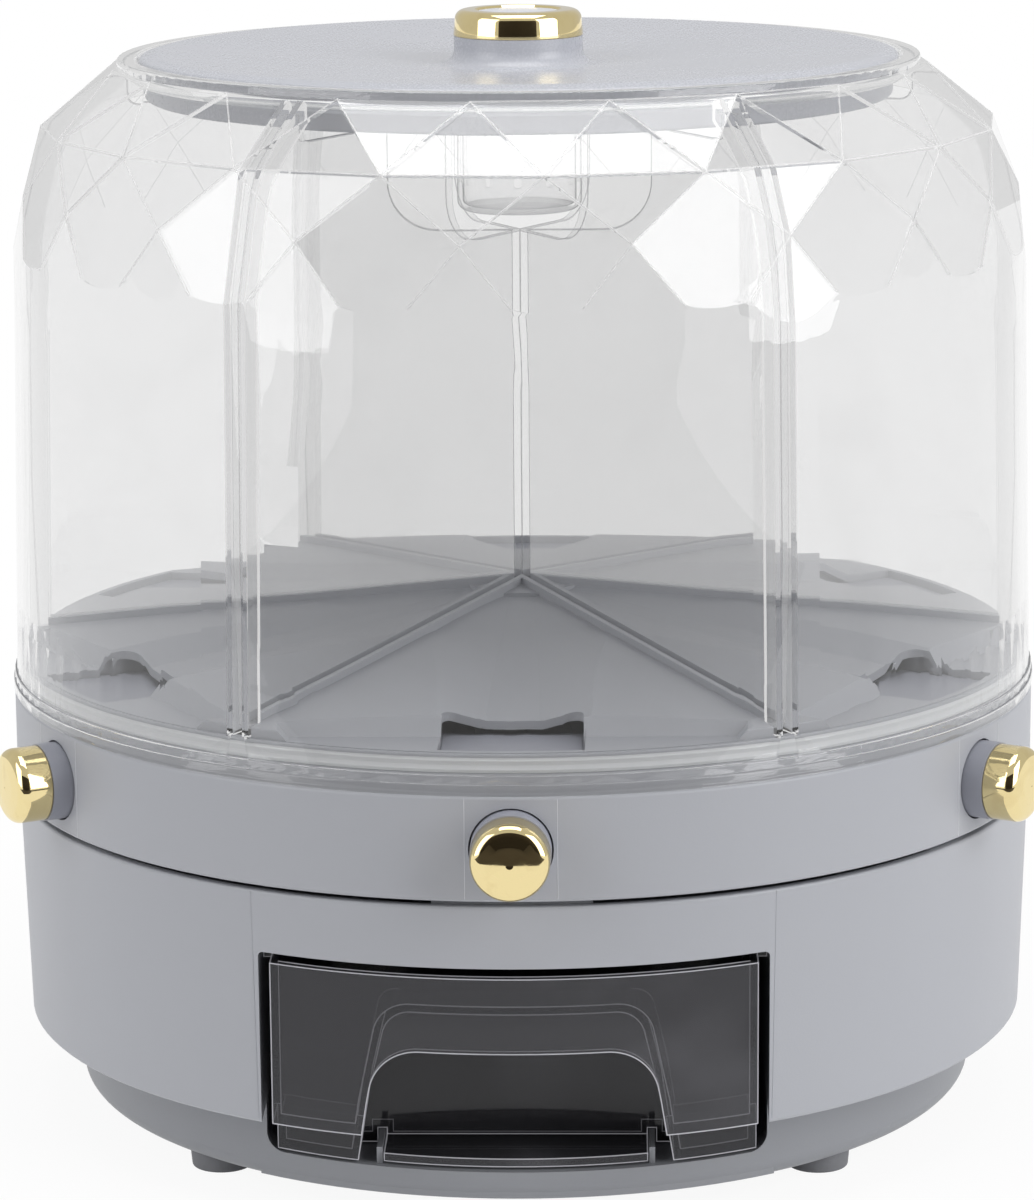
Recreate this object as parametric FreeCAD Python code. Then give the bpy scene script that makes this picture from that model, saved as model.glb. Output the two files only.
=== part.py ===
import FreeCAD, Part
import math
import os

# Rotating grain dispenser, in millimetres. +Z is up, the drawer faces -Y, and the origin is the
# centre of the footprint on the table. The six compartments stand every 60 degrees; an angle on the
# drum is counted from the front, towards +X.

V = FreeCAD.Vector

# Clearances
press_gap = 0.02
running_gap = 0.05
slide_gap = 0.2
loose_gap = 0.4
drum_seam = 1.5

# Walls
wall = 2.6
clear_wall = 2.0
floor_wall = 2.4
thin_wall = 1.6

# Drum and compartments
compartments = 6
sector = 360 / compartments
seam_turn = 110
ring_radius = 150.0
ring_height = 29.0

# Base
foot_height = 5.5
foot_radius = 9.3
foot_recess = 1.0
plinth_radius = ring_radius - 17.3
foot_circle = plinth_radius - 13.2
plinth_height = 22.1
plinth_round = 5.0
base_height = 66.7
base_taper = 0.029
base_setback = 0.55
base_chamfer = 0.7
base_flange_radius = plinth_radius - 20.7

plinth_z = foot_height
base_z = plinth_z + plinth_height
base_top = base_z + base_height
base_radius = ring_radius - base_setback
base_foot_radius = base_radius - base_taper * base_height

# Drum heights, from the seam up
ring_z = base_top + drum_seam
ring_top = ring_z + ring_height
ring_wall = wall

# Drawer and its opening
drawer_width = 132.4
drawer_top = base_top - 20.7
drawer_back_y = -34.0
drawer_wall = 2.2
drawer_face_wall = 2.6
drawer_side_gap = 3.2
drawer_top_gap = 3.4
drawer_lift = 1.0
bay_floor_wall = 2.2
bay_floor_z = 14.2
bay_corner = 5.0
bay_back_gap = 10.0
tunnel_wall = 2.0
rail_x = 37.5
rail_width = 1.6
rail_height = 4.6
runner_clear = 0.5

drawer_z = bay_floor_z + drawer_lift
drawer_face_radius = base_radius - base_taper * 40 - 0.9
bay_half = drawer_width / 2 + drawer_side_gap
bay_top = drawer_top + drawer_top_gap
bay_back_y = drawer_back_y + bay_back_gap

# Finger pocket in the drawer
pocket_foot_half = 44.2
pocket_waist_half = pocket_foot_half - 4.2
pocket_waist_z = drawer_top - 36.6
pocket_lip_half = pocket_waist_half - 3.0
pocket_lip_z = drawer_top - 20.9
pocket_lip_round = 14.0
pocket_roof_half = pocket_lip_half - 3.0
pocket_roof_z = drawer_top - 10.6
pocket_roof_round = 8.0
pocket_back_y = 40.5 - ring_radius
pocket_back_round = 22.0

# Deck, rollers and pivot
deck_wall = 2.6
deck_depth = 8.3
deck_gap = 0.35
deck_rib = 4.0
rollers = 6
roller_radius = 6.0
roller_width = 7.0
roller_circle = ring_radius - 55.0
roller_pin_radius = 1.5
roller_gap = 0.1
roller_end_gap = 0.35
lug_wall = 2.4
lug_half = 4.5
track_half = 6.0
track_height = 2.3
pivot_radius = 8.0
pivot_neck = pivot_radius - 1.0
pivot_neck_height = 26.0
pivot_boss_radius = pivot_radius + 5.0
pivot_washer_radius = pivot_boss_radius
pivot_washer_height = 1.5
pivot_end_gap = 0.2
bush_rise = 4.0

deck_top = base_top - deck_depth
deck_z = deck_top - deck_wall
deck_radius = base_radius - base_taper * deck_depth - wall - deck_gap
deck_ring_radius = roller_circle - 23.0
track_z = ring_z - track_height
roller_z = track_z - roller_gap - roller_radius
bush_z = deck_z - 6.0

# Underplate and chutes
underplate_wall = 2.2
underplate_gap = 0.4
chute_half = 20.0
chute_inner_y = 36.0 - ring_radius
chute_outer_radius = ring_radius - 5.7
collar_gap = 1.0
chute_wall_half = chute_half + 4.0
chute_wall = 2.0
chute_back_y = 54.0 - ring_radius
deck_hole_margin = 1.0
spout_drop = 5.4

underplate_radius = ring_radius - ring_wall - underplate_gap
mechanism_z = ring_z + underplate_wall

# Hopper floor: a shallow cone, and in each sector a valley, an outlet and a flat ledge at the wall
hub_z = ring_top + 27.8
floor_slope = 0.0948
rim_radius = ring_radius - 4.0
spigot_radius = ring_radius - 3.0
spigot_inner_radius = spigot_radius - floor_wall
seal_z = ring_top + 5.8
seal_height = 4.3
seal_depth = 1.1
seal_gap = 0.1
ledge_z = ring_top + 11.2
ledge_y = 22.0 - ring_radius
ledge_half = 60.0
outlet_half = chute_half - 0.5
outlet_inner_y = chute_inner_y - 2.5
outlet_outer_radius = chute_outer_radius - 0.3
outlet_corner = 5.0
valley_top_z = hub_z - 0.64
valley_slope = 0.1241
valley_start = 15.0
valley_start_half = 3.5
valley_bend = 46.8
valley_bend_half = 4.8
valley_bend_crease = 27.0
valley_end = -ledge_y
valley_end_half = 8.3
valley_end_crease = 21.0
hub_boss_radius = pivot_neck + 8.0
hub_boss_wall = 2.6

rim_z = hub_z - floor_slope * rim_radius

# Clear shell: drafted cylinder, then three rows of flat facets up to the neck
shell_foot_radius = ring_radius - 0.6
shell_draft = 0.0225
facets = 20
facet_turn = 4.1
facet_row = 17.5
facet_tip_z = ring_top + 128.2
facet_middle_z = facet_tip_z + facet_row
facet_top_z = facet_middle_z + facet_row
facet_top_radius = ring_radius - 12.0
shoulder_z = facet_top_z + 17.2
neck_radius = facet_top_radius - 22.4
shoulder_radius = neck_radius + 1.9
neck_z = shoulder_z + 2.3
neck_bore = neck_radius - 5.1
neck_ledge_bore = neck_bore - 2.5
neck_ledge_z = neck_z - 4.5
neck_drop = 3.2
flange_radius = ring_radius + 0.3
flange_height = 3.4
bead_radius = ring_radius - 0.1
bead_height = 2.2
channel_wall = 1.9
channel_depth = 6.0
channel_foot_z = ledge_z + 0.2
vessel_low_z = ring_top - 24.8
upstand_wall = 1.6
upstand_height = 2.0

# Divider
blade = 2.4
blade_gap = 0.3
blade_sink = 0.6
groove_sink = 0.8
divider_top_z = shoulder_z - 13.2
notch_radius = 38.0
notch_z = divider_top_z - 36.0
notch_round = 14.0
divider_post_radius = 2.2

# Button and gate
button_z = ring_z + ring_height / 2
button_stroke = 12.0
stem_radius = 10.9
stem_bore = stem_radius - 2.3
stem_proud = 5.5
hole_radius = stem_radius + 0.5
cap_radius = stem_radius - 0.25
cap_length = 10.5
cap_round = 3.2
cap_crown = 0.9
cap_peg_radius = stem_radius - 2.4
cap_peg_length = 4.0
gate_wall = 2.3
gate_half = outlet_half + 2.1
gate_z = ring_top + 6.2
gate_outer_radius = chute_outer_radius - 0.1
gate_overlap = 3.0
gate_ledge = 2.1
gate_pad = 0.5
bulkhead_wall = 2.5
bulkhead_y = chute_inner_y - 11.5
bulkhead_half = outlet_half - 0.1
spring_peg_radius = 3.2
spring_peg_length = 5.0
spring_wire = 0.6
spring_coil_radius = 4.7
spring_turns = 6
abutment_y = chute_inner_y + 15.5
abutment_wall = 3.0
abutment_half = 9.0

# Lid
lid_radius = neck_bore - 1.2
lid_edge_z = neck_ledge_z + 1.2
lid_rim_z = lid_edge_z + 4.4
lid_dish_z = lid_edge_z
lid_wall = 2.4
skirt_radius = neck_bore - 3.3
skirt_z = lid_edge_z - 9.7
skirt_wall = 2.0
knob_radius = 18.6
knob_z = lid_dish_z + 8.2
knob_spigot_radius = knob_radius - 3.6
knob_spigot_z = knob_z + 4.1
knob_ring_radius = knob_radius + 0.15
knob_ring_top = knob_z + 7.6
knob_face_radius = knob_spigot_radius - 3.0
knob_face_z = knob_ring_top - 0.7
holder_radius = 18.0
holder_flange_radius = holder_radius + 5.0
lid_under_z = lid_dish_z - lid_wall
holder_z = lid_under_z - 39.8

# Fasteners
screw_radius = 1.5
screw_head = screw_radius + 1.9
screw_sink = 1.9
post_radius = screw_radius + 2.7
deck_screw_circle = ring_radius - 10.5
deck_screw_angles = (45, 90, 135, -135, -90, -45)
plate_screw_circle = roller_circle + 10.0
plinth_screw_circle = plinth_radius - 12.7
plinth_screw_angles = (62, 105, 150, -150, -105, -62)
pivot_screw_radius = 2.4
pivot_screw_head = 4.2


# Turns a shape about the drum's axis.
def spun(shape, degrees):
    turned_copy = shape.copy()
    turned_copy.rotate(V(0, 0, 0), V(0, 0, 1), degrees)
    return turned_copy


# The same shape at every compartment, or half a compartment on.
def every_sector(shape, start=0):
    return [spun(shape, start + sector * k) for k in range(compartments)]


# A closed face from corners (a, b) or (a, b, rounding), in the plane of the directions u and v.
def outline(corners, u, v, origin=V(0, 0, 0)):
    flat = [V(corner[0], corner[1], 0) for corner in corners]
    stops = []
    for i, corner in enumerate(corners):
        radius = corner[2] if len(corner) > 2 else 0
        if radius == 0:
            stops.append((flat[i], None, flat[i]))
            continue
        back = (flat[i - 1] - flat[i]).normalize()
        ahead = (flat[(i + 1) % len(flat)] - flat[i]).normalize()
        half = back.getAngle(ahead) / 2
        reach = radius / math.tan(half)
        middle = (back + ahead).normalize() * (radius / math.sin(half) - radius)
        stops.append((flat[i] + back * reach, flat[i] + middle, flat[i] + ahead * reach))

    def place(p):
        return origin + u * p.x + v * p.y

    edges = []
    for i, (first, middle, last) in enumerate(stops):
        if middle is not None:
            edges.append(Part.Arc(place(first), place(middle), place(last)).toShape())
        following = stops[(i + 1) % len(stops)][0]
        if last.distanceToPoint(following) > 1e-6:
            edges.append(Part.makeLine(place(last), place(following)))
    return Part.Face(Part.Wire(edges))


# A body turned about Z from corners (radius, height). Its seam lies clear of every sector's features.
def turned(corners):
    return spun(outline(corners, V(1, 0, 0), V(0, 0, 1)).revolve(V(0, 0, 0), V(0, 0, 1), 360), seam_turn)


# A body turned about a level line from the drum's axis to the front, from corners (radius, distance out).
def turned_out(corners, height):
    face = outline(corners, V(1, 0, 0), V(0, -1, 0), V(0, 0, height))
    return face.revolve(V(0, 0, height), V(0, 1, 0), 360)


# A plan outline (x, y) raised between two heights.
def raised(corners, low, high):
    return outline(corners, V(1, 0, 0), V(0, 1, 0), V(0, 0, low)).extrude(V(0, 0, high - low))


# A front outline (x, z) carried along Y.
def carried_back(corners, front, back):
    return outline(corners, V(1, 0, 0), V(0, 0, 1), V(0, front, 0)).extrude(V(0, back - front, 0))


# A side outline (y, z) carried along X, the same width to both sides.
def carried_across(corners, half):
    return outline(corners, V(0, 1, 0), V(0, 0, 1), V(-half, 0, 0)).extrude(V(2 * half, 0, 0))


def block(x0, x1, y0, y1, z0, z1):
    return Part.makeBox(x1 - x0, y1 - y0, z1 - z0, V(x0, y0, z0))


def disc(radius, low, high):
    return spun(Part.makeCylinder(radius, high - low, V(0, 0, low)), seam_turn)


def tube(outer, inner, low, high):
    return disc(outer, low, high).cut(disc(inner, low - 1, high + 1))


# A round bar standing at a circle and angle of the drum.
def post(circle, degrees, radius, low, high):
    return spun(Part.makeCylinder(radius, high - low, V(0, -circle, low)), degrees)


# A level round bar from the drum's axis outwards, between two distances.
def level_bar(radius, height, inner, outer):
    return Part.makeCylinder(radius, outer - inner, V(0, -inner, height), V(0, -1, 0))


def joined(shapes):
    return shapes[0].multiFuse(shapes[1:]).removeSplitter()


# A countersunk screw with its head flush at a face; up is +1 where the head points up.
def screw(circle, degrees, face_z, length, up):
    corners = [(0, 0), (screw_head, 0), (screw_head, -0.3), (screw_radius, -screw_sink)]
    corners += [(screw_radius, -length + 1.5), (0, -length)]
    body = turned([(r, z * up) for r, z in corners])
    body.translate(V(0, -circle, face_z))
    return spun(body, degrees)


# The hole for that screw: its countersink and a clear bore.
def screw_seat(circle, degrees, face_z, length, up):
    top = 0.5
    widen = screw_head + press_gap
    corners = [(0, top), (widen, top), (widen, -0.3 - press_gap), (screw_radius + 0.1, -screw_sink - press_gap)]
    corners += [(screw_radius + 0.1, -length), (0, -length)]
    body = turned([(r, z * up) for r, z in corners])
    body.translate(V(0, -circle, face_z))
    return spun(body, degrees)


# The base: shell, plinth, feet and deck.

def base_wall_radius(z):
    return base_radius - base_taper * (base_top - z)


bay_opening = [(-bay_half, bay_floor_z, bay_corner), (bay_half, bay_floor_z, bay_corner)]
bay_opening += [(bay_half, bay_top, 1.5), (-bay_half, bay_top, 1.5)]


def base_shell():
    inner_top = base_wall_radius(base_top) - wall
    inner_low = base_wall_radius(base_z) - wall
    shell = turned([
        (base_flange_radius, base_z),
        (base_foot_radius - base_chamfer, base_z),
        (base_foot_radius, base_z + base_chamfer),
        (base_radius, base_top, 0.8),
        (inner_top, base_top),
        (inner_low, base_z + wall, 1.5),
        (base_flange_radius, base_z + wall),
    ])
    deck_seat = turned([
        (inner_top - 4, deck_z),
        (inner_top + 0.5, deck_z),
        (inner_top + 0.5, deck_z - 7),
        (inner_top - 0.5, deck_z - 6),
        (inner_top - 4, deck_z - 2),
    ])
    posts = [post(deck_screw_circle, a, post_radius, base_z + 1, deck_z) for a in deck_screw_angles]
    webs = [spun(block(-0.8, 0.8, -ring_radius, -deck_screw_circle, base_z + 1, deck_z), a)
            for a in deck_screw_angles]
    posts += [post(plinth_screw_circle, a, post_radius, base_z + 1, base_z + 14) for a in plinth_screw_angles]
    middle_low = base_wall_radius(base_z) - wall / 2
    middle_top = base_wall_radius(base_top) - wall / 2
    limits = turned([(0, base_z), (middle_low, base_z), (middle_top, base_top), (0, base_top)])
    tunnel_top = bay_top + 1.0
    outer_half = bay_half + tunnel_wall
    tunnel = block(-outer_half, outer_half, -ring_radius, bay_back_y + tunnel_wall, base_z, tunnel_top)
    inside = joined([tunnel] + posts + webs).common(limits)
    body = joined([shell, deck_seat, inside])
    bay = block(-bay_half, bay_half, -ring_radius + 30, bay_back_y, base_z - 1, tunnel_top + 1)
    front = carried_back(bay_opening, -ring_radius - 5, bay_back_y)
    spout_room = block(-chute_half - 4, chute_half + 4, -ring_radius, -ring_radius + 30, bay_top - 1, deck_z + 1)
    body = body.cut([bay, front, spout_room.common(disc(base_wall_radius(bay_top) - wall, bay_top - 1, deck_z + 1))])
    holes = [post(deck_screw_circle, a, screw_radius, deck_z - 12, deck_z + 1) for a in deck_screw_angles]
    holes += [post(plinth_screw_circle, a, screw_radius, base_z - 1, base_z + 12) for a in plinth_screw_angles]
    return body.cut(holes)


def plinth_cover():
    top = base_z
    inner = plinth_radius - wall
    shell = turned([
        (0, plinth_z),
        (plinth_radius, plinth_z, plinth_round),
        (plinth_radius, top),
        (inner, top),
        (inner, plinth_z + wall, plinth_round - wall),
        (0, plinth_z + wall),
    ])
    outer_half = bay_half + tunnel_wall
    back_y = bay_back_y + tunnel_wall
    limits = disc(plinth_radius - 0.5, plinth_z, top)
    bay_box = block(-outer_half, outer_half, -ring_radius, back_y, plinth_z + 1, top).common(limits)
    posts = [post(plinth_screw_circle, a, post_radius, plinth_z + 1, top) for a in plinth_screw_angles]
    body = joined([shell, bay_box] + posts)
    under = block(-bay_half, bay_half, -plinth_radius + 28, bay_back_y, plinth_z + wall, bay_floor_z - bay_floor_wall)
    bay = block(-bay_half, bay_half, -plinth_radius + 28, bay_back_y, bay_floor_z, top + 1)
    front = carried_back(bay_opening, -ring_radius, bay_back_y)
    body = body.cut([under, bay, front])
    rails = []
    for side in (-1, 1):
        middle = side * rail_x
        rails.append(block(middle - rail_width / 2, middle + rail_width / 2, -plinth_radius + 8,
                           drawer_back_y - 6, bay_floor_z - 0.5, bay_floor_z + rail_height))
    body = joined([body] + rails)
    seats = [screw_seat(plinth_screw_circle, a, plinth_z, plinth_height + 4, -1) for a in plinth_screw_angles]
    pockets = [post(foot_circle, 45 + 90 * k, foot_radius + 0.05, plinth_z - 1, plinth_z + foot_recess)
               for k in range(4)]
    return body.cut(seats + pockets)


def rubber_feet():
    foot = turned([(0, 0), (foot_radius - 0.6, 0, 0.8), (foot_radius, foot_height + foot_recess, 0.4),
                   (0, foot_height + foot_recess)])
    foot.translate(V(0, -foot_circle, 0))
    return Part.makeCompound([spun(foot, 45 + 90 * k) for k in range(4)])


def base_deck():
    plate = disc(deck_radius, deck_z, deck_top)
    ring_rib = tube(deck_ring_radius, deck_ring_radius - thin_wall, deck_z - deck_rib, deck_z + 1)
    ribs = [spun(block(-0.8, 0.8, -deck_radius + 12, -pivot_boss_radius + 1, deck_z - deck_rib, deck_z + 1),
                 15 + 30 * k) for k in (1, 2, 3, 4, 5, 6, 7, 8, 9, 10)]
    boss = disc(pivot_boss_radius, bush_z, deck_top + bush_rise)
    hole_half = chute_half + deck_hole_margin
    hole_inner = chute_inner_y + deck_hole_margin
    hole_outer = chute_outer_radius + 0.3
    spout = chute_plan(hole_half + thin_wall, hole_inner + thin_wall, hole_outer + 1.3, 3,
                       deck_z - spout_drop, deck_z + 1)
    lugs = []
    lug_low = roller_width / 2 + roller_end_gap
    for out in (-lug_low - lug_wall, lug_low):
        lug = carried_back([(-lug_half, deck_top - 1), (lug_half, deck_top - 1),
                            (lug_half - 1.5, roller_z + 3.6, 2.5), (-lug_half + 1.5, roller_z + 3.6, 2.5)],
                           -roller_circle - out - lug_wall, -roller_circle - out)
        lugs.append(lug)
    lug_pair = Part.makeCompound(lugs)
    slot = block(-roller_radius - 1, roller_radius + 1, -roller_circle - lug_low, -roller_circle + lug_low,
                 deck_z - deck_rib - 1, deck_top + 1)
    pin_hole = level_bar(roller_pin_radius + press_gap, roller_z, roller_circle - 8, roller_circle + 8)
    starts = [sector / 2 + sector * k for k in range(rollers)]
    body = joined([plate, ring_rib, boss, spout] + ribs + [spun(lug_pair, a) for a in starts])
    hole = chute_plan(hole_half, hole_inner, hole_outer, 2, deck_z - spout_drop - 1, deck_top + 1)
    cuts = [hole, disc(pivot_radius + running_gap, bush_z - 1, deck_top + bush_rise + 1)]
    cuts += [spun(slot, a) for a in starts]
    cuts += [spun(pin_hole, a) for a in starts]
    cuts += [screw_seat(deck_screw_circle, a, deck_top, deck_wall + 1, 1) for a in deck_screw_angles]
    return body.cut(cuts)


def roller_pins():
    pin = level_bar(roller_pin_radius, roller_z, roller_circle - 6.2, roller_circle + 6.2)
    return Part.makeCompound(every_sector(pin, sector / 2))


def roller():
    half = roller_width / 2
    return turned_out([
        (roller_pin_radius + running_gap, roller_circle - half),
        (roller_radius, roller_circle - half, 0.6),
        (roller_radius, roller_circle + half, 0.6),
        (roller_pin_radius + running_gap, roller_circle + half),
    ], roller_z)


# The open space of one valley: a narrow flat bed, and sides that rise to the cone.
def valley():
    stations = [
        (valley_start, valley_start_half, valley_start * math.tan(math.radians(sector / 2))),
        (valley_bend, valley_bend_half, valley_bend_crease),
        (valley_end, valley_end_half, valley_end_crease),
        (rim_radius + 2, valley_end_half + 0.8, valley_end_crease),
    ]
    reach = 40.0
    sections = []
    for out, bed, crease in stations:
        bed_z = valley_top_z - valley_slope * min(out, valley_end)
        crease_z = hub_z - floor_slope * math.hypot(out, crease)
        side_z = bed_z + (crease_z - bed_z) / (crease - bed) * (reach - bed)
        points = [(-reach, hub_z + 8), (-reach, side_z), (-bed, bed_z), (bed, bed_z), (reach, side_z),
                  (reach, hub_z + 8)]
        corners = [V(x, -out, z) for x, z in points]
        sections.append(Part.makePolygon(corners + [corners[0]]))
    return Part.makeLoft(sections, True, True)


# The open space over the flat ledge at the wall, with sloping sides and back.
def ledge():
    rise = 12.0
    side = carried_across([(ledge_y, ledge_z), (ledge_y + rise, ledge_z + rise), (-ring_radius, ledge_z + rise),
                           (-ring_radius, ledge_z)], ledge_half + rise)
    front = carried_back([(-ledge_half, ledge_z), (ledge_half, ledge_z), (ledge_half + rise, ledge_z + rise),
                          (-ledge_half - rise, ledge_z + rise)], -ring_radius, ledge_y + rise)
    return side.common(front)


def outlet_hole(low, high):
    hole = raised([(-outlet_half, -ring_radius), (outlet_half, -ring_radius),
                   (outlet_half, outlet_inner_y, outlet_corner), (-outlet_half, outlet_inner_y, outlet_corner)],
                  low, high)
    return hole.common(disc(outlet_outer_radius, low, high))


def hopper_tray():
    def cone_z(radius):
        return hub_z - floor_slope * radius

    valleys = every_sector(valley()) + every_sector(ledge())
    mass = turned([
        (0, ring_z),
        (ring_radius, ring_z, 0.8),
        (ring_radius, ring_top, 1.0),
        (spigot_radius, ring_top),
        (spigot_radius, seal_z),
        (spigot_radius - seal_depth, seal_z),
        (spigot_radius - seal_depth, seal_z + seal_height),
        (spigot_radius, seal_z + seal_height),
        (spigot_radius, ledge_z - 0.2, 0.4),
        (rim_radius, ledge_z - 0.2),
        (rim_radius, rim_z, 0.5),
        (0, hub_z),
    ]).cut(valleys)
    hollow = turned([
        (0, ring_z - 1),
        (ring_radius - ring_wall, ring_z - 1),
        (ring_radius - ring_wall, ring_top - ring_wall),
        (spigot_inner_radius, ring_top - ring_wall),
        (spigot_inner_radius, cone_z(spigot_inner_radius) - floor_wall),
        (0, hub_z - floor_wall),
    ])
    under_valleys = [shape.translated(V(0, 0, -floor_wall)) for shape in valleys]
    boss_top = mechanism_z + pivot_neck_height + 2
    inside = [disc(hub_boss_radius, mechanism_z, boss_top),
              tube(hub_boss_radius, hub_boss_radius - hub_boss_wall, boss_top - 1, hub_z)]
    inside += [post(plate_screw_circle, sector * k + sector / 2, post_radius, mechanism_z, rim_z + 8)
               for k in range(compartments)]
    rails = []
    for side in (-1, 1):
        inner, outer = sorted((side * (chute_wall_half - chute_wall), side * chute_wall_half))
        rails.append(block(inner, outer, -ring_radius, chute_back_y, mechanism_z, rim_z + 8))
        inner, outer = sorted((side * (chute_wall_half - 1), side * (gate_half + slide_gap - gate_ledge)))
        rails.append(block(inner, outer, -ring_radius, chute_back_y, gate_z - 2.6, gate_z - slide_gap))
    inside += every_sector(joined(rails))
    body = mass.cut(hollow.cut(under_valleys + inside))

    upstand_half = blade / 2 + blade_gap + upstand_wall
    strip = block(-upstand_half, upstand_half, -rim_radius + channel_depth - 1.4, 0, rim_z - 1, hub_z + 4)
    raised_cone = turned([(0, rim_z - 3), (rim_radius, rim_z - 3), (rim_radius, rim_z + upstand_height),
                          (0, hub_z + upstand_height)])
    body = body.fuse(joined(every_sector(strip, sector / 2)).common(raised_cone))

    cuts = every_sector(outlet_hole(gate_z + gate_wall - 0.3, hub_z + 6))
    cuts += every_sector(level_bar(hole_radius, button_z, ring_radius - 8, ring_radius + 4))
    cuts.append(disc(pivot_neck + press_gap, mechanism_z - 1, mechanism_z + pivot_neck_height + 0.5))
    cuts += [post(plate_screw_circle, sector * k + sector / 2, screw_radius, mechanism_z - 1, mechanism_z + 12)
             for k in range(compartments)]

    groove_half = blade / 2 + blade_gap * 0.6
    notch_half = blade / 2 + 2 * blade_gap + channel_wall
    groove = block(-groove_half, groove_half, -rim_radius - 2, 0, rim_z - 2, hub_z + 8)
    notch = block(-notch_half, notch_half, -spigot_radius - 2, -rim_radius + channel_depth - 1,
                  channel_foot_z - 0.3, hub_z)
    groove_bed = turned([(0, 0), (rim_radius + 3, 0), (rim_radius + 3, cone_z(rim_radius + 3) - groove_sink),
                         (0, hub_z - groove_sink)])
    grooves = joined(every_sector(groove, sector / 2)).cut(groove_bed)
    return body.cut(cuts).cut(grooves).cut(every_sector(notch, sector / 2))


def shell_seal():
    inner = spigot_radius - seal_depth + 0.02
    outer = shell_radius(seal_z) - clear_wall - seal_gap
    middle = seal_z + seal_height / 2
    low = seal_z + 0.05
    high = seal_z + seal_height - 0.05
    return turned([
        (inner, low),
        (spigot_radius - 0.2, low),
        (outer, middle - 1.2, 0.4),
        (spigot_radius - 0.4, middle, 0.4),
        (outer, middle + 1.2, 0.4),
        (spigot_radius - 0.2, high),
        (inner, high),
    ])


# The plan of a chute: straight sides and inner edge, and the drum's own circle outside.
def chute_plan(half, inner_y, outer_radius, corner, low, high):
    shape = raised([(-half, -ring_radius), (half, -ring_radius), (half, inner_y, corner), (-half, inner_y, corner)],
                   low, high)
    return shape.common(disc(outer_radius, low, high))


def drum_underplate():
    plate = disc(underplate_radius, ring_z, mechanism_z)
    track = tube(roller_circle + track_half, roller_circle - track_half, track_z, ring_z + 1)
    collar_low = deck_top + collar_gap
    collar = chute_plan(chute_half + thin_wall, chute_inner_y + thin_wall, chute_outer_radius + thin_wall, 3,
                        collar_low, mechanism_z)
    chute = chute_plan(chute_half, chute_inner_y, chute_outer_radius, 2, collar_low - 1, mechanism_z + 1)
    stop = carried_across([
        (abutment_y, mechanism_z - 0.5),
        (abutment_y, button_z + 8, 3),
        (abutment_y + abutment_wall, button_z + 8),
        (abutment_y + abutment_wall + 8, mechanism_z - 0.5),
    ], thin_wall)
    face = block(-abutment_half, abutment_half, abutment_y, abutment_y + abutment_wall, mechanism_z - 0.5, button_z + 8)
    peg = level_bar(spring_peg_radius, button_z, -abutment_y - 1, -abutment_y + spring_peg_length - 1)
    body = joined([plate, track] + every_sector(collar) + every_sector(joined([stop, face, peg])))
    centre = disc(pivot_radius + slide_gap, track_z, mechanism_z + 1)
    seats = [screw_seat(plate_screw_circle, sector * k + sector / 2, ring_z, underplate_wall + 1, -1)
             for k in range(compartments)]
    return body.cut(every_sector(chute) + [centre] + seats)


def pivot_spindle():
    foot = bush_z - pivot_end_gap
    body = turned([
        (0, foot),
        (pivot_radius, foot, 0.5),
        (pivot_radius, mechanism_z - 0.02),
        (pivot_neck, mechanism_z - 0.02),
        (pivot_neck, mechanism_z + pivot_neck_height, 1.0),
        (0, mechanism_z + pivot_neck_height),
    ])
    return body.cut(disc(pivot_screw_radius + 0.05, foot - 1, foot + 16))


def pivot_washer():
    top = bush_z - pivot_end_gap
    return tube(pivot_washer_radius, pivot_screw_radius + 0.2, top - pivot_washer_height, top)


def pivot_screw():
    head_top = bush_z - pivot_end_gap - pivot_washer_height
    body = turned([
        (0, head_top - 2.2),
        (pivot_screw_head, head_top - 2.2, 0.9),
        (pivot_screw_head, head_top),
        (pivot_screw_radius, head_top),
        (pivot_screw_radius, head_top + 15),
        (0, head_top + 16),
    ])
    drive = block(-0.5, 0.5, -3, 3, head_top - 2.3, head_top - 1.1)
    return body.cut([drive, spun(drive, 90)])


def shell_radius(z):
    return shell_foot_radius - shell_draft * (z - ring_top)


# Where two lines of the (radius, height) profile meet after both moved inwards.
def inset_corner(before, corner, after, inset):
    lines = []
    for first, last in ((before, corner), (corner, after)):
        dr = last[0] - first[0]
        dz = last[1] - first[1]
        length = math.hypot(dr, dz)
        lines.append((first[0] + dz / length * inset, first[1] - dr / length * inset, dr, dz))
    (r1, z1, a1, b1), (r2, z2, a2, b2) = lines
    along = ((r2 - r1) * b2 - (z2 - z1) * a2) / (a1 * b2 - b1 * a2)
    return r1 + a1 * along, z1 + b1 * along


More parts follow.
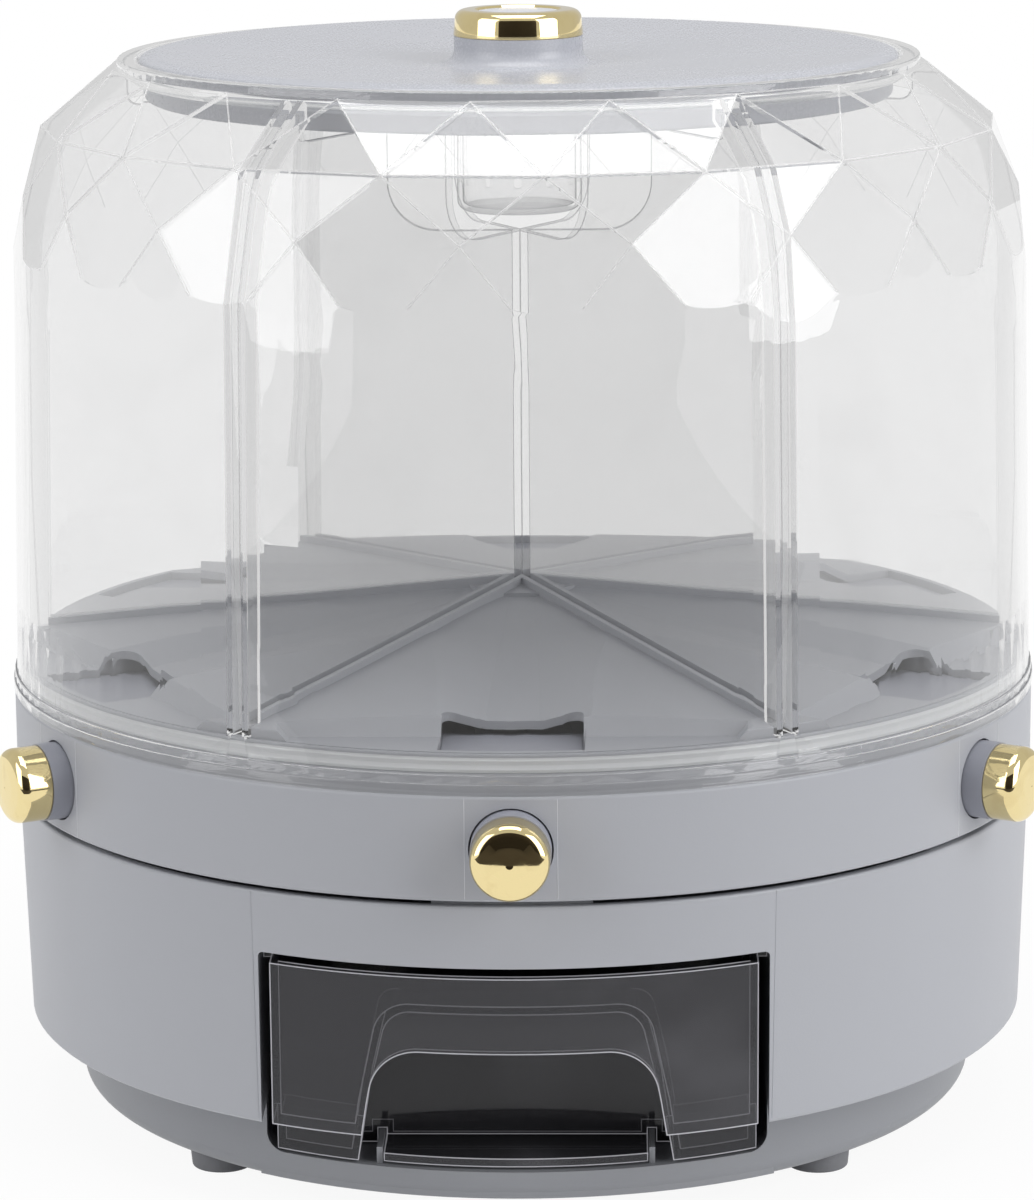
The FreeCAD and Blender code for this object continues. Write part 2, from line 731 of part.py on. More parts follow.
# The faceted vessel, moved inwards by an inset, as one closed body down to a level.
def vessel(inset, low):
    half = math.radians(180 / facets)
    spread = 0.4
    tip_slope = (shell_radius(facet_tip_z) - facet_top_radius) / (facet_top_z - facet_tip_z)
    foot_z = facet_tip_z
    while facet_top_radius + tip_slope * (facet_top_z - foot_z) < (shell_radius(foot_z) + spread) / math.cos(half):
        foot_z -= 0.2
    foot = (facet_top_radius + tip_slope * (facet_top_z - foot_z), foot_z)
    top = (facet_top_radius, facet_top_z)
    shoulder = (shoulder_radius, shoulder_z)
    skirt = (foot[0] + 12, vessel_low_z)
    lid_line = (0.0, shoulder_z)
    shoulder_in = inset_corner(top, shoulder, lid_line, -inset)
    top_in = inset_corner(foot, top, shoulder, -inset)
    foot_in = inset_corner(skirt, foot, top, -inset)
    skirt_in = (skirt[0] - inset, skirt[1])
    middle_z = facet_middle_z - inset * 0.25
    share = (top_in[1] - middle_z) / (top_in[1] - foot_in[1])
    middle_radius = (top_in[0] + (foot_in[0] - top_in[0]) * share) / math.cos(half)

    def row(radius, z, turn):
        points = []
        for k in range(facets):
            angle = math.radians(facet_turn + turn) + 2 * half * k
            points.append(V(radius * math.sin(angle), -radius * math.cos(angle), z))
        return points

    row_a = row(shoulder_in[0], shoulder_in[1], 180 / facets)
    row_b = row(top_in[0], top_in[1], 0)
    row_c = row(middle_radius, middle_z, 180 / facets)
    row_d = row(foot_in[0], foot_in[1], 0)
    row_e = row(skirt_in[0], skirt_in[1], 0)
    polygons = [row_a, row_e]
    for k in range(facets):
        after = (k + 1) % facets
        polygons.append([row_a[k - 1], row_a[k], row_b[k]])
        polygons.append([row_b[k], row_b[after], row_a[k]])
        polygons.append([row_b[k], row_b[after], row_c[k]])
        polygons.append([row_b[k], row_c[k], row_d[k], row_c[k - 1]])
        polygons.append([row_c[k], row_d[k], row_d[after]])
        polygons.append([row_d[k], row_d[after], row_e[after], row_e[k]])
    faces = [Part.Face(Part.makePolygon(points + [points[0]])) for points in polygons]
    cut_glass = Part.Solid(Part.makeShell(faces))
    if cut_glass.Volume < 0:
        cut_glass.reverse()
    wall_low = shell_radius(low) - inset
    wall_high = shell_radius(neck_z) - inset
    drum = turned([(0, low), (wall_low, low), (wall_high, neck_z), (0, neck_z)])
    return drum.common(cut_glass)


# One upright slab between two compartments, following the wall and the shoulder up to the neck.
def channel_slab(half, low):
    bend = ring_radius - channel_depth - 8
    inner = neck_radius - 2
    side = [
        (-ring_radius, low),
        (-bend, low),
        (-bend, facet_tip_z),
        (-inner, shoulder_z - 12),
        (-inner, shoulder_z),
        (-ring_radius, shoulder_z),
    ]
    return carried_across(side, half)


def clear_shell():
    outside = vessel(0, ring_top)
    neck = turned([
        (neck_ledge_bore, shoulder_z - clear_wall - neck_drop, 0.6),
        (neck_ledge_bore + 3, shoulder_z - clear_wall - neck_drop),
        (neck_radius, shoulder_z - clear_wall + 0.5),
        (neck_radius, neck_z, 1.0),
        (neck_bore, neck_z, 0.6),
        (neck_bore, neck_ledge_z),
        (neck_ledge_bore, neck_ledge_z),
    ])
    bore = disc(neck_bore, shoulder_z - clear_wall - 1, neck_z + 1)
    foot_bore = shell_radius(ring_top) - clear_wall
    foot = turned([
        (foot_bore, ring_top),
        (flange_radius, ring_top, 0.6),
        (flange_radius, ring_top + flange_height, 0.8),
        (bead_radius, ring_top + flange_height),
        (bead_radius, ring_top + flange_height + bead_height, 0.5),
        (shell_radius(ring_top) - 0.3, ring_top + flange_height + bead_height + 0.2),
        (foot_bore + 0.2, ring_top + flange_height),
    ])
    wall_body = outside.cut([vessel(clear_wall, ring_top - 10), bore]).fuse(neck).fuse(foot)
    slot_half = blade / 2 + blade_gap
    pair = channel_slab(slot_half + channel_wall, channel_foot_z).cut(channel_slab(slot_half, channel_foot_z - 1))
    room = vessel(clear_wall / 2, channel_foot_z - 5).cut(vessel(clear_wall + channel_depth, vessel_low_z + 0.5))
    channels = [shape.common(room) for shape in every_sector(pair, sector / 2)]
    return joined([wall_body] + channels)


def star_divider():
    slope_z = hub_z - blade_sink
    reach = spigot_radius - 2.4
    ledge = neck_ledge_bore + 4.5
    under_neck = shoulder_z - clear_wall - neck_drop - blade_gap
    blade_outline = [
        (0, slope_z),
        (reach, slope_z - floor_slope * reach),
        (reach + 3, facet_tip_z),
        (reach + 3, under_neck),
        (ledge, under_neck, 2),
        (ledge, divider_top_z, 3),
        (notch_radius, divider_top_z, 2),
        (notch_radius, notch_z, notch_round),
        (0, notch_z),
    ]
    face = outline(blade_outline, V(0, -1, 0), V(0, 0, 1), V(-blade / 2, 0, 0))
    one = face.extrude(V(blade, 0, 0))
    core = disc(divider_post_radius, hub_z - blade_sink, notch_z)
    star = joined(every_sector(one, sector / 2) + [core])
    return star.common(vessel(clear_wall + blade_gap, vessel_low_z + 0.5))


# The gates, their buttons and springs are built at the front and turned to each compartment.

def gate_slider():
    stem_outer = ring_radius + stem_proud
    gate_inner_y = outlet_inner_y + gate_overlap
    plate = chute_plan(gate_half, gate_inner_y, gate_outer_radius, 2, gate_z, gate_z + gate_wall)
    pad = chute_plan(outlet_half - 0.6, outlet_inner_y - 1, gate_outer_radius - 0.6, outlet_corner,
                     gate_z + 1, gate_z + gate_wall + gate_pad)
    bulkhead = block(-bulkhead_half, bulkhead_half, bulkhead_y - bulkhead_wall, bulkhead_y,
                     mechanism_z + 1.2, gate_z + 0.5)
    stem = level_bar(stem_radius, button_z, -bulkhead_y + 0.5, stem_outer)
    peg = level_bar(cap_peg_radius, button_z, stem_outer - 1, stem_outer + cap_peg_length)
    roof_top = gate_z - 6
    roof = carried_back([(-stem_radius * 0.87, button_z + 5), (stem_radius * 0.87, button_z + 5),
                         (1, roof_top), (-1, roof_top)], -ring_radius + ring_wall + 4, bulkhead_y - 1)
    spring_peg = level_bar(spring_peg_radius, button_z, -bulkhead_y - spring_peg_length, -bulkhead_y + 1)
    body = joined([plate, pad, bulkhead, stem, peg, roof, spring_peg])
    rib_low = gate_z - 12
    for side in (-1, 1):
        rib = raised([(side * (bulkhead_half - 2), bulkhead_y - 0.5), (side * bulkhead_half, bulkhead_y - 0.5),
                      (side * bulkhead_half, gate_inner_y), (side * (bulkhead_half - 2), gate_inner_y)],
                     rib_low, gate_z + 0.5)
        body = body.fuse(rib)
    core = level_bar(stem_bore, button_z, -bulkhead_y + bulkhead_wall, stem_outer - thin_wall - 1)
    relief = roof.common(core)
    return body.removeSplitter().cut(core.cut(relief))


def button_cap():
    back = ring_radius + stem_proud
    front = back + cap_length
    bore = cap_peg_radius + press_gap
    return turned_out([
        (0, back + cap_peg_length + 0.1),
        (bore, back + cap_peg_length + 0.1),
        (bore, back),
        (cap_radius, back, 0.5),
        (cap_radius, front - cap_crown, cap_round),
        (cap_radius * 0.45, front - 0.15, 12),
        (0, front),
    ], button_z)


# A coil along the radius as one wire: each quarter turn is a pair of arcs that share a tangent.
def return_spring():
    inner = -abutment_y + spring_wire + 0.02
    outer = -bulkhead_y - spring_wire - 0.02
    pitch = (outer - inner) / spring_turns

    def point(turn):
        angle = 2 * math.pi * turn
        return V(spring_coil_radius * math.cos(angle), -(inner + pitch * turn),
                 button_z + spring_coil_radius * math.sin(angle))

    def heading(turn):
        angle = 2 * math.pi * turn
        round_speed = 2 * math.pi * spring_coil_radius
        return V(-round_speed * math.sin(angle), -pitch, round_speed * math.cos(angle)).normalize()

    def arc(start, apex, end):
        middle = (start + end) * 0.5
        half_chord = (end - start).Length / 2
        lean = (apex - start).getAngle(end - start)
        crown = middle + (apex - middle).normalize() * half_chord * math.tan(lean / 2)
        return Part.Arc(start, crown, end).toShape()

    steps = 48
    line = [point(k / steps) for k in range(spring_turns * steps + 1)]
    gap = min((line[i] - line[j]).Length for i in range(len(line)) for j in range(i + steps // 2, len(line)))
    gap -= 2 * spring_wire
    print("least gap between turns", round(gap, 2), "pressed in", round(gap - button_stroke / spring_turns, 2))
    edges = []
    for k in range(spring_turns * 4):
        start, end = point(k / 4), point((k + 1) / 4)
        lead, trail = heading(k / 4), heading((k + 1) / 4)
        both = lead + trail
        gap = end - start
        lean = 4 - both.dot(both)
        reach = (-gap.dot(both) + math.sqrt(gap.dot(both) ** 2 + gap.dot(gap) * lean)) / lean
        first_apex, last_apex = start + lead * reach, end - trail * reach
        join = (first_apex + last_apex) * 0.5
        edges.append(arc(start, first_apex, join))
        edges.append(arc(join, last_apex, end))
    path = Part.Wire(edges)
    ring = Part.Wire(Part.makeCircle(spring_wire, point(0), heading(0)))
    coil = path.makePipeShell([ring], True, False)
    return coil


def lid_cover():
    under = lid_under_z
    return turned([
        (0, knob_spigot_z - lid_wall),
        (knob_radius - lid_wall, knob_spigot_z - lid_wall - 4, 1.5),
        (knob_radius - lid_wall, under),
        (holder_flange_radius + 4, under),
        (skirt_radius - skirt_wall, lid_edge_z - 0.4, 2.0),
        (skirt_radius - skirt_wall, skirt_z, 0.6),
        (skirt_radius, skirt_z, 0.8),
        (skirt_radius, lid_edge_z),
        (lid_radius, lid_edge_z, 0.6),
        (lid_radius, lid_rim_z - 1.2, 1.6),
        (lid_radius - 4.5, lid_rim_z, 6.0),
        (knob_radius, lid_dish_z, 4.5),
        (knob_radius, knob_z),
        (knob_spigot_radius, knob_z),
        (knob_spigot_radius, knob_spigot_z, 0.6),
        (0, knob_spigot_z),
    ])


def lid_seal():
    return turned([
        (skirt_radius + press_gap, neck_ledge_z),
        (neck_bore - loose_gap, neck_ledge_z, 0.4),
        (neck_bore - loose_gap, lid_edge_z, 0.4),
        (skirt_radius + press_gap, lid_edge_z),
    ])


def knob_ring():
    return turned([
        (knob_spigot_radius + press_gap, knob_z),
        (knob_ring_radius, knob_z, 0.6),
        (knob_ring_radius, knob_ring_top - 1.0, 2.6),
        (knob_face_radius + 3.2, knob_ring_top, 3.0),
        (knob_face_radius + press_gap, knob_ring_top - 0.7, 0.4),
        (knob_face_radius + press_gap, knob_spigot_z + press_gap),
        (knob_spigot_radius + press_gap, knob_spigot_z + press_gap),
    ])


def knob_cap():
    return turned([(0, knob_spigot_z), (knob_face_radius, knob_spigot_z), (knob_face_radius, knob_face_z, 0.5),
                   (0, knob_face_z)])


def desiccant_holder():
    cup = turned([
        (0, holder_z),
        (holder_radius, holder_z, 3.0),
        (holder_radius, lid_under_z - 1.6),
        (holder_flange_radius, lid_under_z - 1.6, 0.5),
        (holder_flange_radius, lid_under_z, 0.3),
        (holder_radius - thin_wall, lid_under_z),
        (holder_radius - thin_wall, holder_z + thin_wall, 1.5),
        (0, holder_z + thin_wall),
    ])
    vent = carried_back([(-1.2, holder_z + 8, 1.1), (1.2, holder_z + 8, 1.1), (1.2, holder_z + 26, 1.1),
                         (-1.2, holder_z + 26, 1.1)], -holder_radius - 1, -holder_radius + 4)
    return cup.cut([spun(vent, 30 * k) for k in range(12)])


# The drawer's plan: straight sides, round back corners and a front on the base's own circle.
def drawer_plan(half, front_radius, back_y, corner, low, high):
    front_y = -math.sqrt(front_radius ** 2 - half ** 2)
    left, right = V(-half, front_y, low), V(half, front_y, low)
    rear = outline([(-half, front_y), (half, front_y), (half, back_y, corner), (-half, back_y, corner)],
                   V(1, 0, 0), V(0, 1, 0), V(0, 0, low)).extrude(V(0, 0, high - low))
    bow = Part.Wire([Part.Arc(left, V(0, -front_radius, low), right).toShape(), Part.makeLine(right, left)])
    front = Part.Face(bow).extrude(V(0, 0, high - low))
    return rear.fuse(front).removeSplitter()


# The hollow that fingers reach into, or with an offset the wall around it.
def finger_pocket(offset):
    arch = carried_back([
        (-pocket_foot_half - offset, drawer_z - 5),
        (pocket_foot_half + offset, drawer_z - 5),
        (pocket_waist_half + offset, pocket_waist_z),
        (pocket_roof_half + offset, pocket_roof_z + offset, pocket_roof_round + offset),
        (-pocket_roof_half - offset, pocket_roof_z + offset, pocket_roof_round + offset),
        (-pocket_waist_half - offset, pocket_waist_z),
    ], -ring_radius - 5, pocket_back_y + offset)
    side = carried_across([
        (-ring_radius - 5, drawer_z - 5),
        (pocket_back_y + offset, drawer_z - 5),
        (pocket_back_y + offset, pocket_roof_z + offset, pocket_back_round + offset),
        (-ring_radius - 5, pocket_roof_z + offset),
    ], pocket_foot_half + 10)
    return arch.common(side)


def drawer_bin():
    half = drawer_width / 2
    lower_radius = plinth_radius - 0.4
    step_z = base_z + 0.4
    upper = drawer_plan(half, drawer_face_radius, drawer_back_y, 12, step_z, drawer_top)
    lower = drawer_plan(half, lower_radius, drawer_back_y, 12, drawer_z, step_z + 1)
    body = upper.fuse(lower).removeSplitter()
    inner_half = half - drawer_wall
    inner_back = drawer_back_y - drawer_wall
    upper_in = drawer_plan(inner_half, drawer_face_radius - drawer_face_wall, inner_back, 12 - drawer_wall,
                           step_z + drawer_wall, drawer_top + 5)
    lower_in = drawer_plan(inner_half, lower_radius - drawer_wall, inner_back, 12 - drawer_wall,
                           drawer_z + drawer_wall, step_z + drawer_wall + 1)
    shell = body.cut([upper_in, lower_in])
    pocket_wall = finger_pocket(drawer_wall).common(body)
    slot_half = rail_width / 2 + runner_clear
    slot_top = bay_floor_z + rail_height + runner_clear
    covers = []
    for side in (-1, 1):
        middle = side * rail_x
        covers.append(block(middle - slot_half - thin_wall, middle + slot_half + thin_wall,
                            pocket_back_y + 0.5, drawer_back_y, drawer_z, slot_top + thin_wall))
        edge = side * half
        low_x, high_x = sorted((edge - side, edge + side * (drawer_side_gap - runner_clear)))
        covers.append(block(low_x, high_x, -ring_radius + 32, drawer_back_y - 12, drawer_top - 2.2, drawer_top))
    body = joined([shell, pocket_wall] + covers)
    face_radius = drawer_face_radius - drawer_face_wall
    hollow = finger_pocket(0).common(disc(face_radius, drawer_z - 6, drawer_top))
    mouth = carried_back([
        (-pocket_foot_half, drawer_z - 5),
        (pocket_foot_half, drawer_z - 5),
        (pocket_waist_half, pocket_waist_z),
        (pocket_lip_half, pocket_lip_z, pocket_lip_round),
        (-pocket_lip_half, pocket_lip_z, pocket_lip_round),
        (-pocket_waist_half, pocket_waist_z),
    ], -ring_radius - 5, -ring_radius + 30)
    mouth = mouth.cut(disc(face_radius - 0.5, drawer_z - 8, drawer_top))
    slots = [block(side * rail_x - slot_half, side * rail_x + slot_half, pocket_back_y - 3, drawer_back_y + 1,
                   drawer_z - 1, slot_top) for side in (-1, 1)]
    floor_half = rail_x - slot_half
    pocket_floor = block(-floor_half, floor_half, -lower_radius, pocket_back_y + 1.0, drawer_z, drawer_z + drawer_wall)
    return joined([body.cut([hollow, mouth] + slots), pocket_floor.common(disc(lower_radius - 1.5, 0, drawer_top))])


def write(name, shape):
    shape.exportStep("parts/" + name + ".step")
    solids = len(shape.Solids)
    print(name, "solids", solids, "valid", shape.isValid(), "volume", round(shape.Volume / 1000, 1))


os.makedirs("parts", exist_ok=True)

write("base_shell", base_shell())
write("plinth_cover", plinth_cover())
write("rubber_feet", rubber_feet())
write("base_deck", base_deck())
write("roller_pins", roller_pins())
write("deck_screws", Part.makeCompound(
    [screw(deck_screw_circle, a, deck_top, 12, 1) for a in deck_screw_angles]))
write("plinth_screws", Part.makeCompound(
    [screw(plinth_screw_circle, a, plinth_z, plinth_height + 9, -1) for a in plinth_screw_angles]))
write("underplate_screws", Part.makeCompound(
    [screw(plate_screw_circle, sector * k + sector / 2, ring_z, 11, -1) for k in range(compartments)]))

write("hopper_tray", hopper_tray())
write("shell_seal", shell_seal())
write("drum_underplate", drum_underplate())
write("pivot_spindle", pivot_spindle())
write("pivot_washer", pivot_washer())
write("pivot_screw", pivot_screw())
write("clear_shell", clear_shell())
write("star_divider", star_divider())

slider, cap, spring, wheel = gate_slider(), button_cap(), return_spring(), roller()
for k in range(compartments):
    write("gate_slider_%d" % (k + 1), spun(slider, sector * k))
    write("button_cap_%d" % (k + 1), spun(cap, sector * k))
    write("return_spring_%d" % (k + 1), spun(spring, sector * k))
for k in range(rollers):
    write("roller_%d" % (k + 1), spun(wheel, sector * k + sector / 2))

write("lid_cover", lid_cover())
write("lid_seal", lid_seal())
write("knob_ring", knob_ring())
write("knob_cap", knob_cap())
write("desiccant_holder", desiccant_holder())
write("drawer_bin", drawer_bin())
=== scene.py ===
import math

import bmesh
import bpy
from mathutils import Matrix, Vector


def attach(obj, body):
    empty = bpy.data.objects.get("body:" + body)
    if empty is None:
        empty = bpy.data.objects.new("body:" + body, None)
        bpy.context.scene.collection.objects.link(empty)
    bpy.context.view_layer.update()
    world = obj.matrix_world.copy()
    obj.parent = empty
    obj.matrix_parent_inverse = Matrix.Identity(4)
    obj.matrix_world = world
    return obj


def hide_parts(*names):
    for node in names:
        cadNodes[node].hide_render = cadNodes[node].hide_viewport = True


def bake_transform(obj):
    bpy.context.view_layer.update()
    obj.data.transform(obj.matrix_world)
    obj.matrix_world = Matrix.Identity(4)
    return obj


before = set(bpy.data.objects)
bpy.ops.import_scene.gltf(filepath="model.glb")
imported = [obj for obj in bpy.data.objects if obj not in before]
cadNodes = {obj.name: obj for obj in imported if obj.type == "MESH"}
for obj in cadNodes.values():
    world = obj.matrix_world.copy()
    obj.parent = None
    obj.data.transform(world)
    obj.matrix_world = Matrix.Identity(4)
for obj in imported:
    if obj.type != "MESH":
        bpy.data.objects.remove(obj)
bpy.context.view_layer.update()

scene = bpy.context.scene
sectors = range(1, 7)  # compartments, each with its button, gate, spring and roller
sectorTurn = 360 / len(sectors)
print("frame loaded,", len(cadNodes), "solids")


# the photograph's camera

cameraSettings = {
    "place": (0.031355, -1.305404, 0.428484),
    "azimuth": 1.38,  # degrees, turned towards -X
    "pitch": 12.22,  # degrees, looking down
    "roll": -0.437,
    "focalPixels": 4513.0,
    "centrePixel": 522.26,  # where the optical axis meets the picture, across
    "pictureWidth": 1034,
    "pictureHeight": 1200,
    "sensor": 36,
    "nearest": 0.05,
    "farthest": 30,
}


def makeCamera(s):
    a, p, r = (math.radians(s[k]) for k in ("azimuth", "pitch", "roll"))
    forward = Vector((-math.sin(a) * math.cos(p), math.cos(a) * math.cos(p), -math.sin(p)))
    right = Vector((math.cos(a), math.sin(a), 0))
    up = right.cross(forward)
    side = right * math.cos(r) + up * math.sin(r)
    top = up * math.cos(r) - right * math.sin(r)
    data = bpy.data.cameras.new("studioCamera")
    data.sensor_width = s["sensor"]
    data.lens = s["focalPixels"] * s["sensor"] / s["pictureHeight"]
    data.shift_x = (s["pictureWidth"] / 2 - s["centrePixel"]) / s["pictureHeight"]
    data.clip_start, data.clip_end = s["nearest"], s["farthest"]
    body = bpy.data.objects.new("studioCamera", data)
    turned = Matrix((side, top, -forward)).transposed().to_4x4()
    body.matrix_world = Matrix.Translation(Vector(s["place"])) @ turned
    scene.collection.objects.link(body)
    scene.camera = body


makeCamera(cameraSettings)
print("camera placed")


# shader node helpers

def addNode(tree, kind, place=(0, 0), **values):
    node = tree.nodes.new(kind)
    node.location = place
    for name, value in values.items():
        setattr(node, name, value)
    return node


def newGroup(name, takes, gives):
    tree = bpy.data.node_groups.new(name, "ShaderNodeTree")
    for label, kind, start in takes:
        socket = tree.interface.new_socket(label, in_out="INPUT", socket_type="NodeSocket" + kind)
        socket.default_value = start
    for label, kind in gives:
        tree.interface.new_socket(label, in_out="OUTPUT", socket_type="NodeSocket" + kind)
    return tree, addNode(tree, "NodeGroupInput", (-900, 0)), addNode(tree, "NodeGroupOutput", (900, 0))


# moulded skin: slow mottling in the colour, fine spark-eroded grain in gloss and height

skinSettings = {"cloudSize": 14, "cloudDetail": 4, "grainDetail": 2, "middle": 0.5}


def makeMouldedSkin(s):
    tree, inward, outward = newGroup(
        "mouldedSkin",
        [
            ("Colour", "Color", (0.4, 0.4, 0.42, 1)),
            ("Mottle", "Float", 0.03),
            ("Grain Size", "Float", 900.0),
            ("Gloss", "Float", 0.4),
            ("Gloss Change", "Float", 0.08),
        ],
        [("Colour", "Color"), ("Roughness", "Float"), ("Height", "Float")],
    )
    link = tree.links.new
    place = addNode(tree, "ShaderNodeTexCoord", (-900, -300))
    cloud = addNode(tree, "ShaderNodeTexNoise", (-650, 200))
    cloud.inputs["Scale"].default_value = s["cloudSize"]
    cloud.inputs["Detail"].default_value = s["cloudDetail"]
    link(place.outputs["Object"], cloud.inputs["Vector"])
    grain = addNode(tree, "ShaderNodeTexNoise", (-650, -200))
    grain.inputs["Detail"].default_value = s["grainDetail"]
    link(place.outputs["Object"], grain.inputs["Vector"])
    link(inward.outputs["Grain Size"], grain.inputs["Scale"])
    # the cloud brightens or darkens the given colour
    centred = addNode(tree, "ShaderNodeMath", (-420, 260), operation="SUBTRACT")
    centred.inputs[1].default_value = s["middle"]
    link(cloud.outputs["Fac"], centred.inputs[0])
    amount = addNode(tree, "ShaderNodeMath", (-240, 260), operation="MULTIPLY_ADD")
    amount.inputs[2].default_value = 1
    link(centred.outputs[0], amount.inputs[0])
    link(inward.outputs["Mottle"], amount.inputs[1])
    tinted = addNode(tree, "ShaderNodeVectorMath", (0, 260), operation="SCALE")
    link(inward.outputs["Colour"], tinted.inputs[0])
    link(amount.outputs[0], tinted.inputs["Scale"])
    link(tinted.outputs[0], outward.inputs["Colour"])
    # gloss wanders with both noises
    both = addNode(tree, "ShaderNodeMath", (-240, -60), operation="ADD")
    link(centred.outputs[0], both.inputs[0])
    fine = addNode(tree, "ShaderNodeMath", (-420, -200), operation="SUBTRACT")
    fine.inputs[1].default_value = s["middle"]
    link(grain.outputs["Fac"], fine.inputs[0])
    link(fine.outputs[0], both.inputs[1])
    gloss = addNode(tree, "ShaderNodeMath", (0, -60), operation="MULTIPLY_ADD", use_clamp=True)
    link(both.outputs[0], gloss.inputs[0])
    link(inward.outputs["Gloss Change"], gloss.inputs[1])
    link(inward.outputs["Gloss"], gloss.inputs[2])
    link(gloss.outputs[0], outward.inputs["Roughness"])
    link(grain.outputs["Fac"], outward.inputs["Height"])
    return tree


# handling marks: faint smears and hairlines on polished plastic and plating

marksSettings = {
    "smearDetail": 5, "smearBend": 0.6, "smearStart": 0.5, "smearEnd": 0.75,
    "hairTurn": (0.3, 0.5, 0.9), "hairStretch": (40, 900, 900),
}


def makeHandlingMarks(s):
    tree, inward, outward = newGroup(
        "handlingMarks",
        [
            ("Smear Size", "Float", 20.0),
            ("Clean", "Float", 0.02),
            ("Smeared", "Float", 0.08),
            ("Hairlines", "Float", 0.5),
        ],
        [("Roughness", "Float"), ("Height", "Float"), ("Mask", "Float")],
    )
    link = tree.links.new
    place = addNode(tree, "ShaderNodeTexCoord", (-900, -300))
    smear = addNode(tree, "ShaderNodeTexNoise", (-650, 200))
    smear.inputs["Detail"].default_value = s["smearDetail"]
    smear.inputs["Distortion"].default_value = s["smearBend"]
    link(place.outputs["Object"], smear.inputs["Vector"])
    link(inward.outputs["Smear Size"], smear.inputs["Scale"])
    mask = addNode(tree, "ShaderNodeMapRange", (-420, 200))
    mask.inputs["From Min"].default_value = s["smearStart"]
    mask.inputs["From Max"].default_value = s["smearEnd"]
    link(smear.outputs["Fac"], mask.inputs["Value"])
    link(mask.outputs["Result"], outward.inputs["Mask"])
    gloss = addNode(tree, "ShaderNodeMapRange", (-200, 100))
    link(mask.outputs["Result"], gloss.inputs["Value"])
    link(inward.outputs["Clean"], gloss.inputs["To Min"])
    link(inward.outputs["Smeared"], gloss.inputs["To Max"])
    link(gloss.outputs["Result"], outward.inputs["Roughness"])
    stretch = addNode(tree, "ShaderNodeMapping", (-650, -200))
    stretch.inputs["Rotation"].default_value = s["hairTurn"]
    stretch.inputs["Scale"].default_value = s["hairStretch"]
    link(place.outputs["Object"], stretch.inputs["Vector"])
    hair = addNode(tree, "ShaderNodeTexNoise", (-420, -200))
    hair.inputs["Scale"].default_value = 1
    link(stretch.outputs["Vector"], hair.inputs["Vector"])
    faint = addNode(tree, "ShaderNodeMath", (-200, -200), operation="MULTIPLY")
    link(hair.outputs["Fac"], faint.inputs[0])
    link(inward.outputs["Hairlines"], faint.inputs[1])
    link(faint.outputs[0], outward.inputs["Height"])
    return tree


mouldedSkin = makeMouldedSkin(skinSettings)
handlingMarks = makeHandlingMarks(marksSettings)


def linear(red, green, blue):  # picture values 0-255 to the renderer's linear colour
    return tuple(((v / 255 + 0.055) / 1.055) ** 2.4 for v in (red, green, blue)) + (1,)


def startMaterial(name):
    material = bpy.data.materials.new(name)
    material.use_nodes = True
    tree = material.node_tree
    return material, tree, tree.nodes["Principled BSDF"], tree.nodes["Material Output"]


def addBump(tree, shader, height, depth):
    bump = addNode(tree, "ShaderNodeBump", (-220, -320))
    bump.inputs["Strength"].default_value = 1
    bump.inputs["Distance"].default_value = depth
    tree.links.new(height, bump.inputs["Height"])
    tree.links.new(bump.outputs["Normal"], shader.inputs["Normal"])


def addTint(tree, share, first, second, place=(-250, 250)):
    tint = addNode(tree, "ShaderNodeMix", place, data_type="RGBA")
    tint.inputs["A"].default_value = linear(*first)
    tint.inputs["B"].default_value = linear(*second)
    tree.links.new(share, tint.inputs["Factor"])
    return tint.outputs["Result"]


def addSkin(tree, shader, s):
    skin = addNode(tree, "ShaderNodeGroup", (-500, 0), node_tree=mouldedSkin)
    skin.inputs["Colour"].default_value = linear(*s["colour"])
    skin.inputs["Mottle"].default_value = s["mottle"]
    skin.inputs["Grain Size"].default_value = s["grain"]
    skin.inputs["Gloss"].default_value = s["gloss"]
    tree.links.new(skin.outputs["Colour"], shader.inputs["Base Color"])
    tree.links.new(skin.outputs["Roughness"], shader.inputs["Roughness"])
    return skin


def addMarks(tree, s):
    marks = addNode(tree, "ShaderNodeGroup", (-700, 0), node_tree=handlingMarks)
    marks.inputs["Smear Size"].default_value = s["smearSize"]
    marks.inputs["Clean"].default_value = s["clean"]
    marks.inputs["Smeared"].default_value = s["smeared"]
    return marks


def addPolish(tree, shader, s):  # handling marks in colour, gloss and height
    marks = addMarks(tree, s)
    tree.links.new(addTint(tree, marks.outputs["Mask"], s["colour"], s["smearColour"]), shader.inputs["Base Color"])
    tree.links.new(marks.outputs["Roughness"], shader.inputs["Roughness"])
    addBump(tree, shader, marks.outputs["Height"], s["depth"])


def addMix(tree, share, first, second, place):
    mix = addNode(tree, "ShaderNodeMixShader", place)
    tree.links.new(share, mix.inputs[0])
    tree.links.new(first, mix.inputs[1])
    tree.links.new(second, mix.inputs[2])
    return mix.outputs[0]


def addEither(tree, first, second, place):
    either = addNode(tree, "ShaderNodeMath", place, operation="MAXIMUM")
    tree.links.new(first, either.inputs[0])
    tree.links.new(second, either.inputs[1])
    return either.outputs[0]


def addRange(tree, value, start, end, low, high, place, **values):
    span = addNode(tree, "ShaderNodeMapRange", place, **values)
    span.inputs["From Min"].default_value = start
    span.inputs["From Max"].default_value = end
    span.inputs["To Min"].default_value = low
    span.inputs["To Max"].default_value = high
    tree.links.new(value, span.inputs["Value"])
    return span.outputs["Result"]


def makeMouldedPlastic(name, s):
    material, tree, shader, out = startMaterial(name)
    skin = addSkin(tree, shader, s)
    skin.inputs["Gloss Change"].default_value = s["glossChange"]
    addBump(tree, shader, skin.outputs["Height"], s["depth"])
    shader.inputs["IOR"].default_value = plasticIndex
    return material


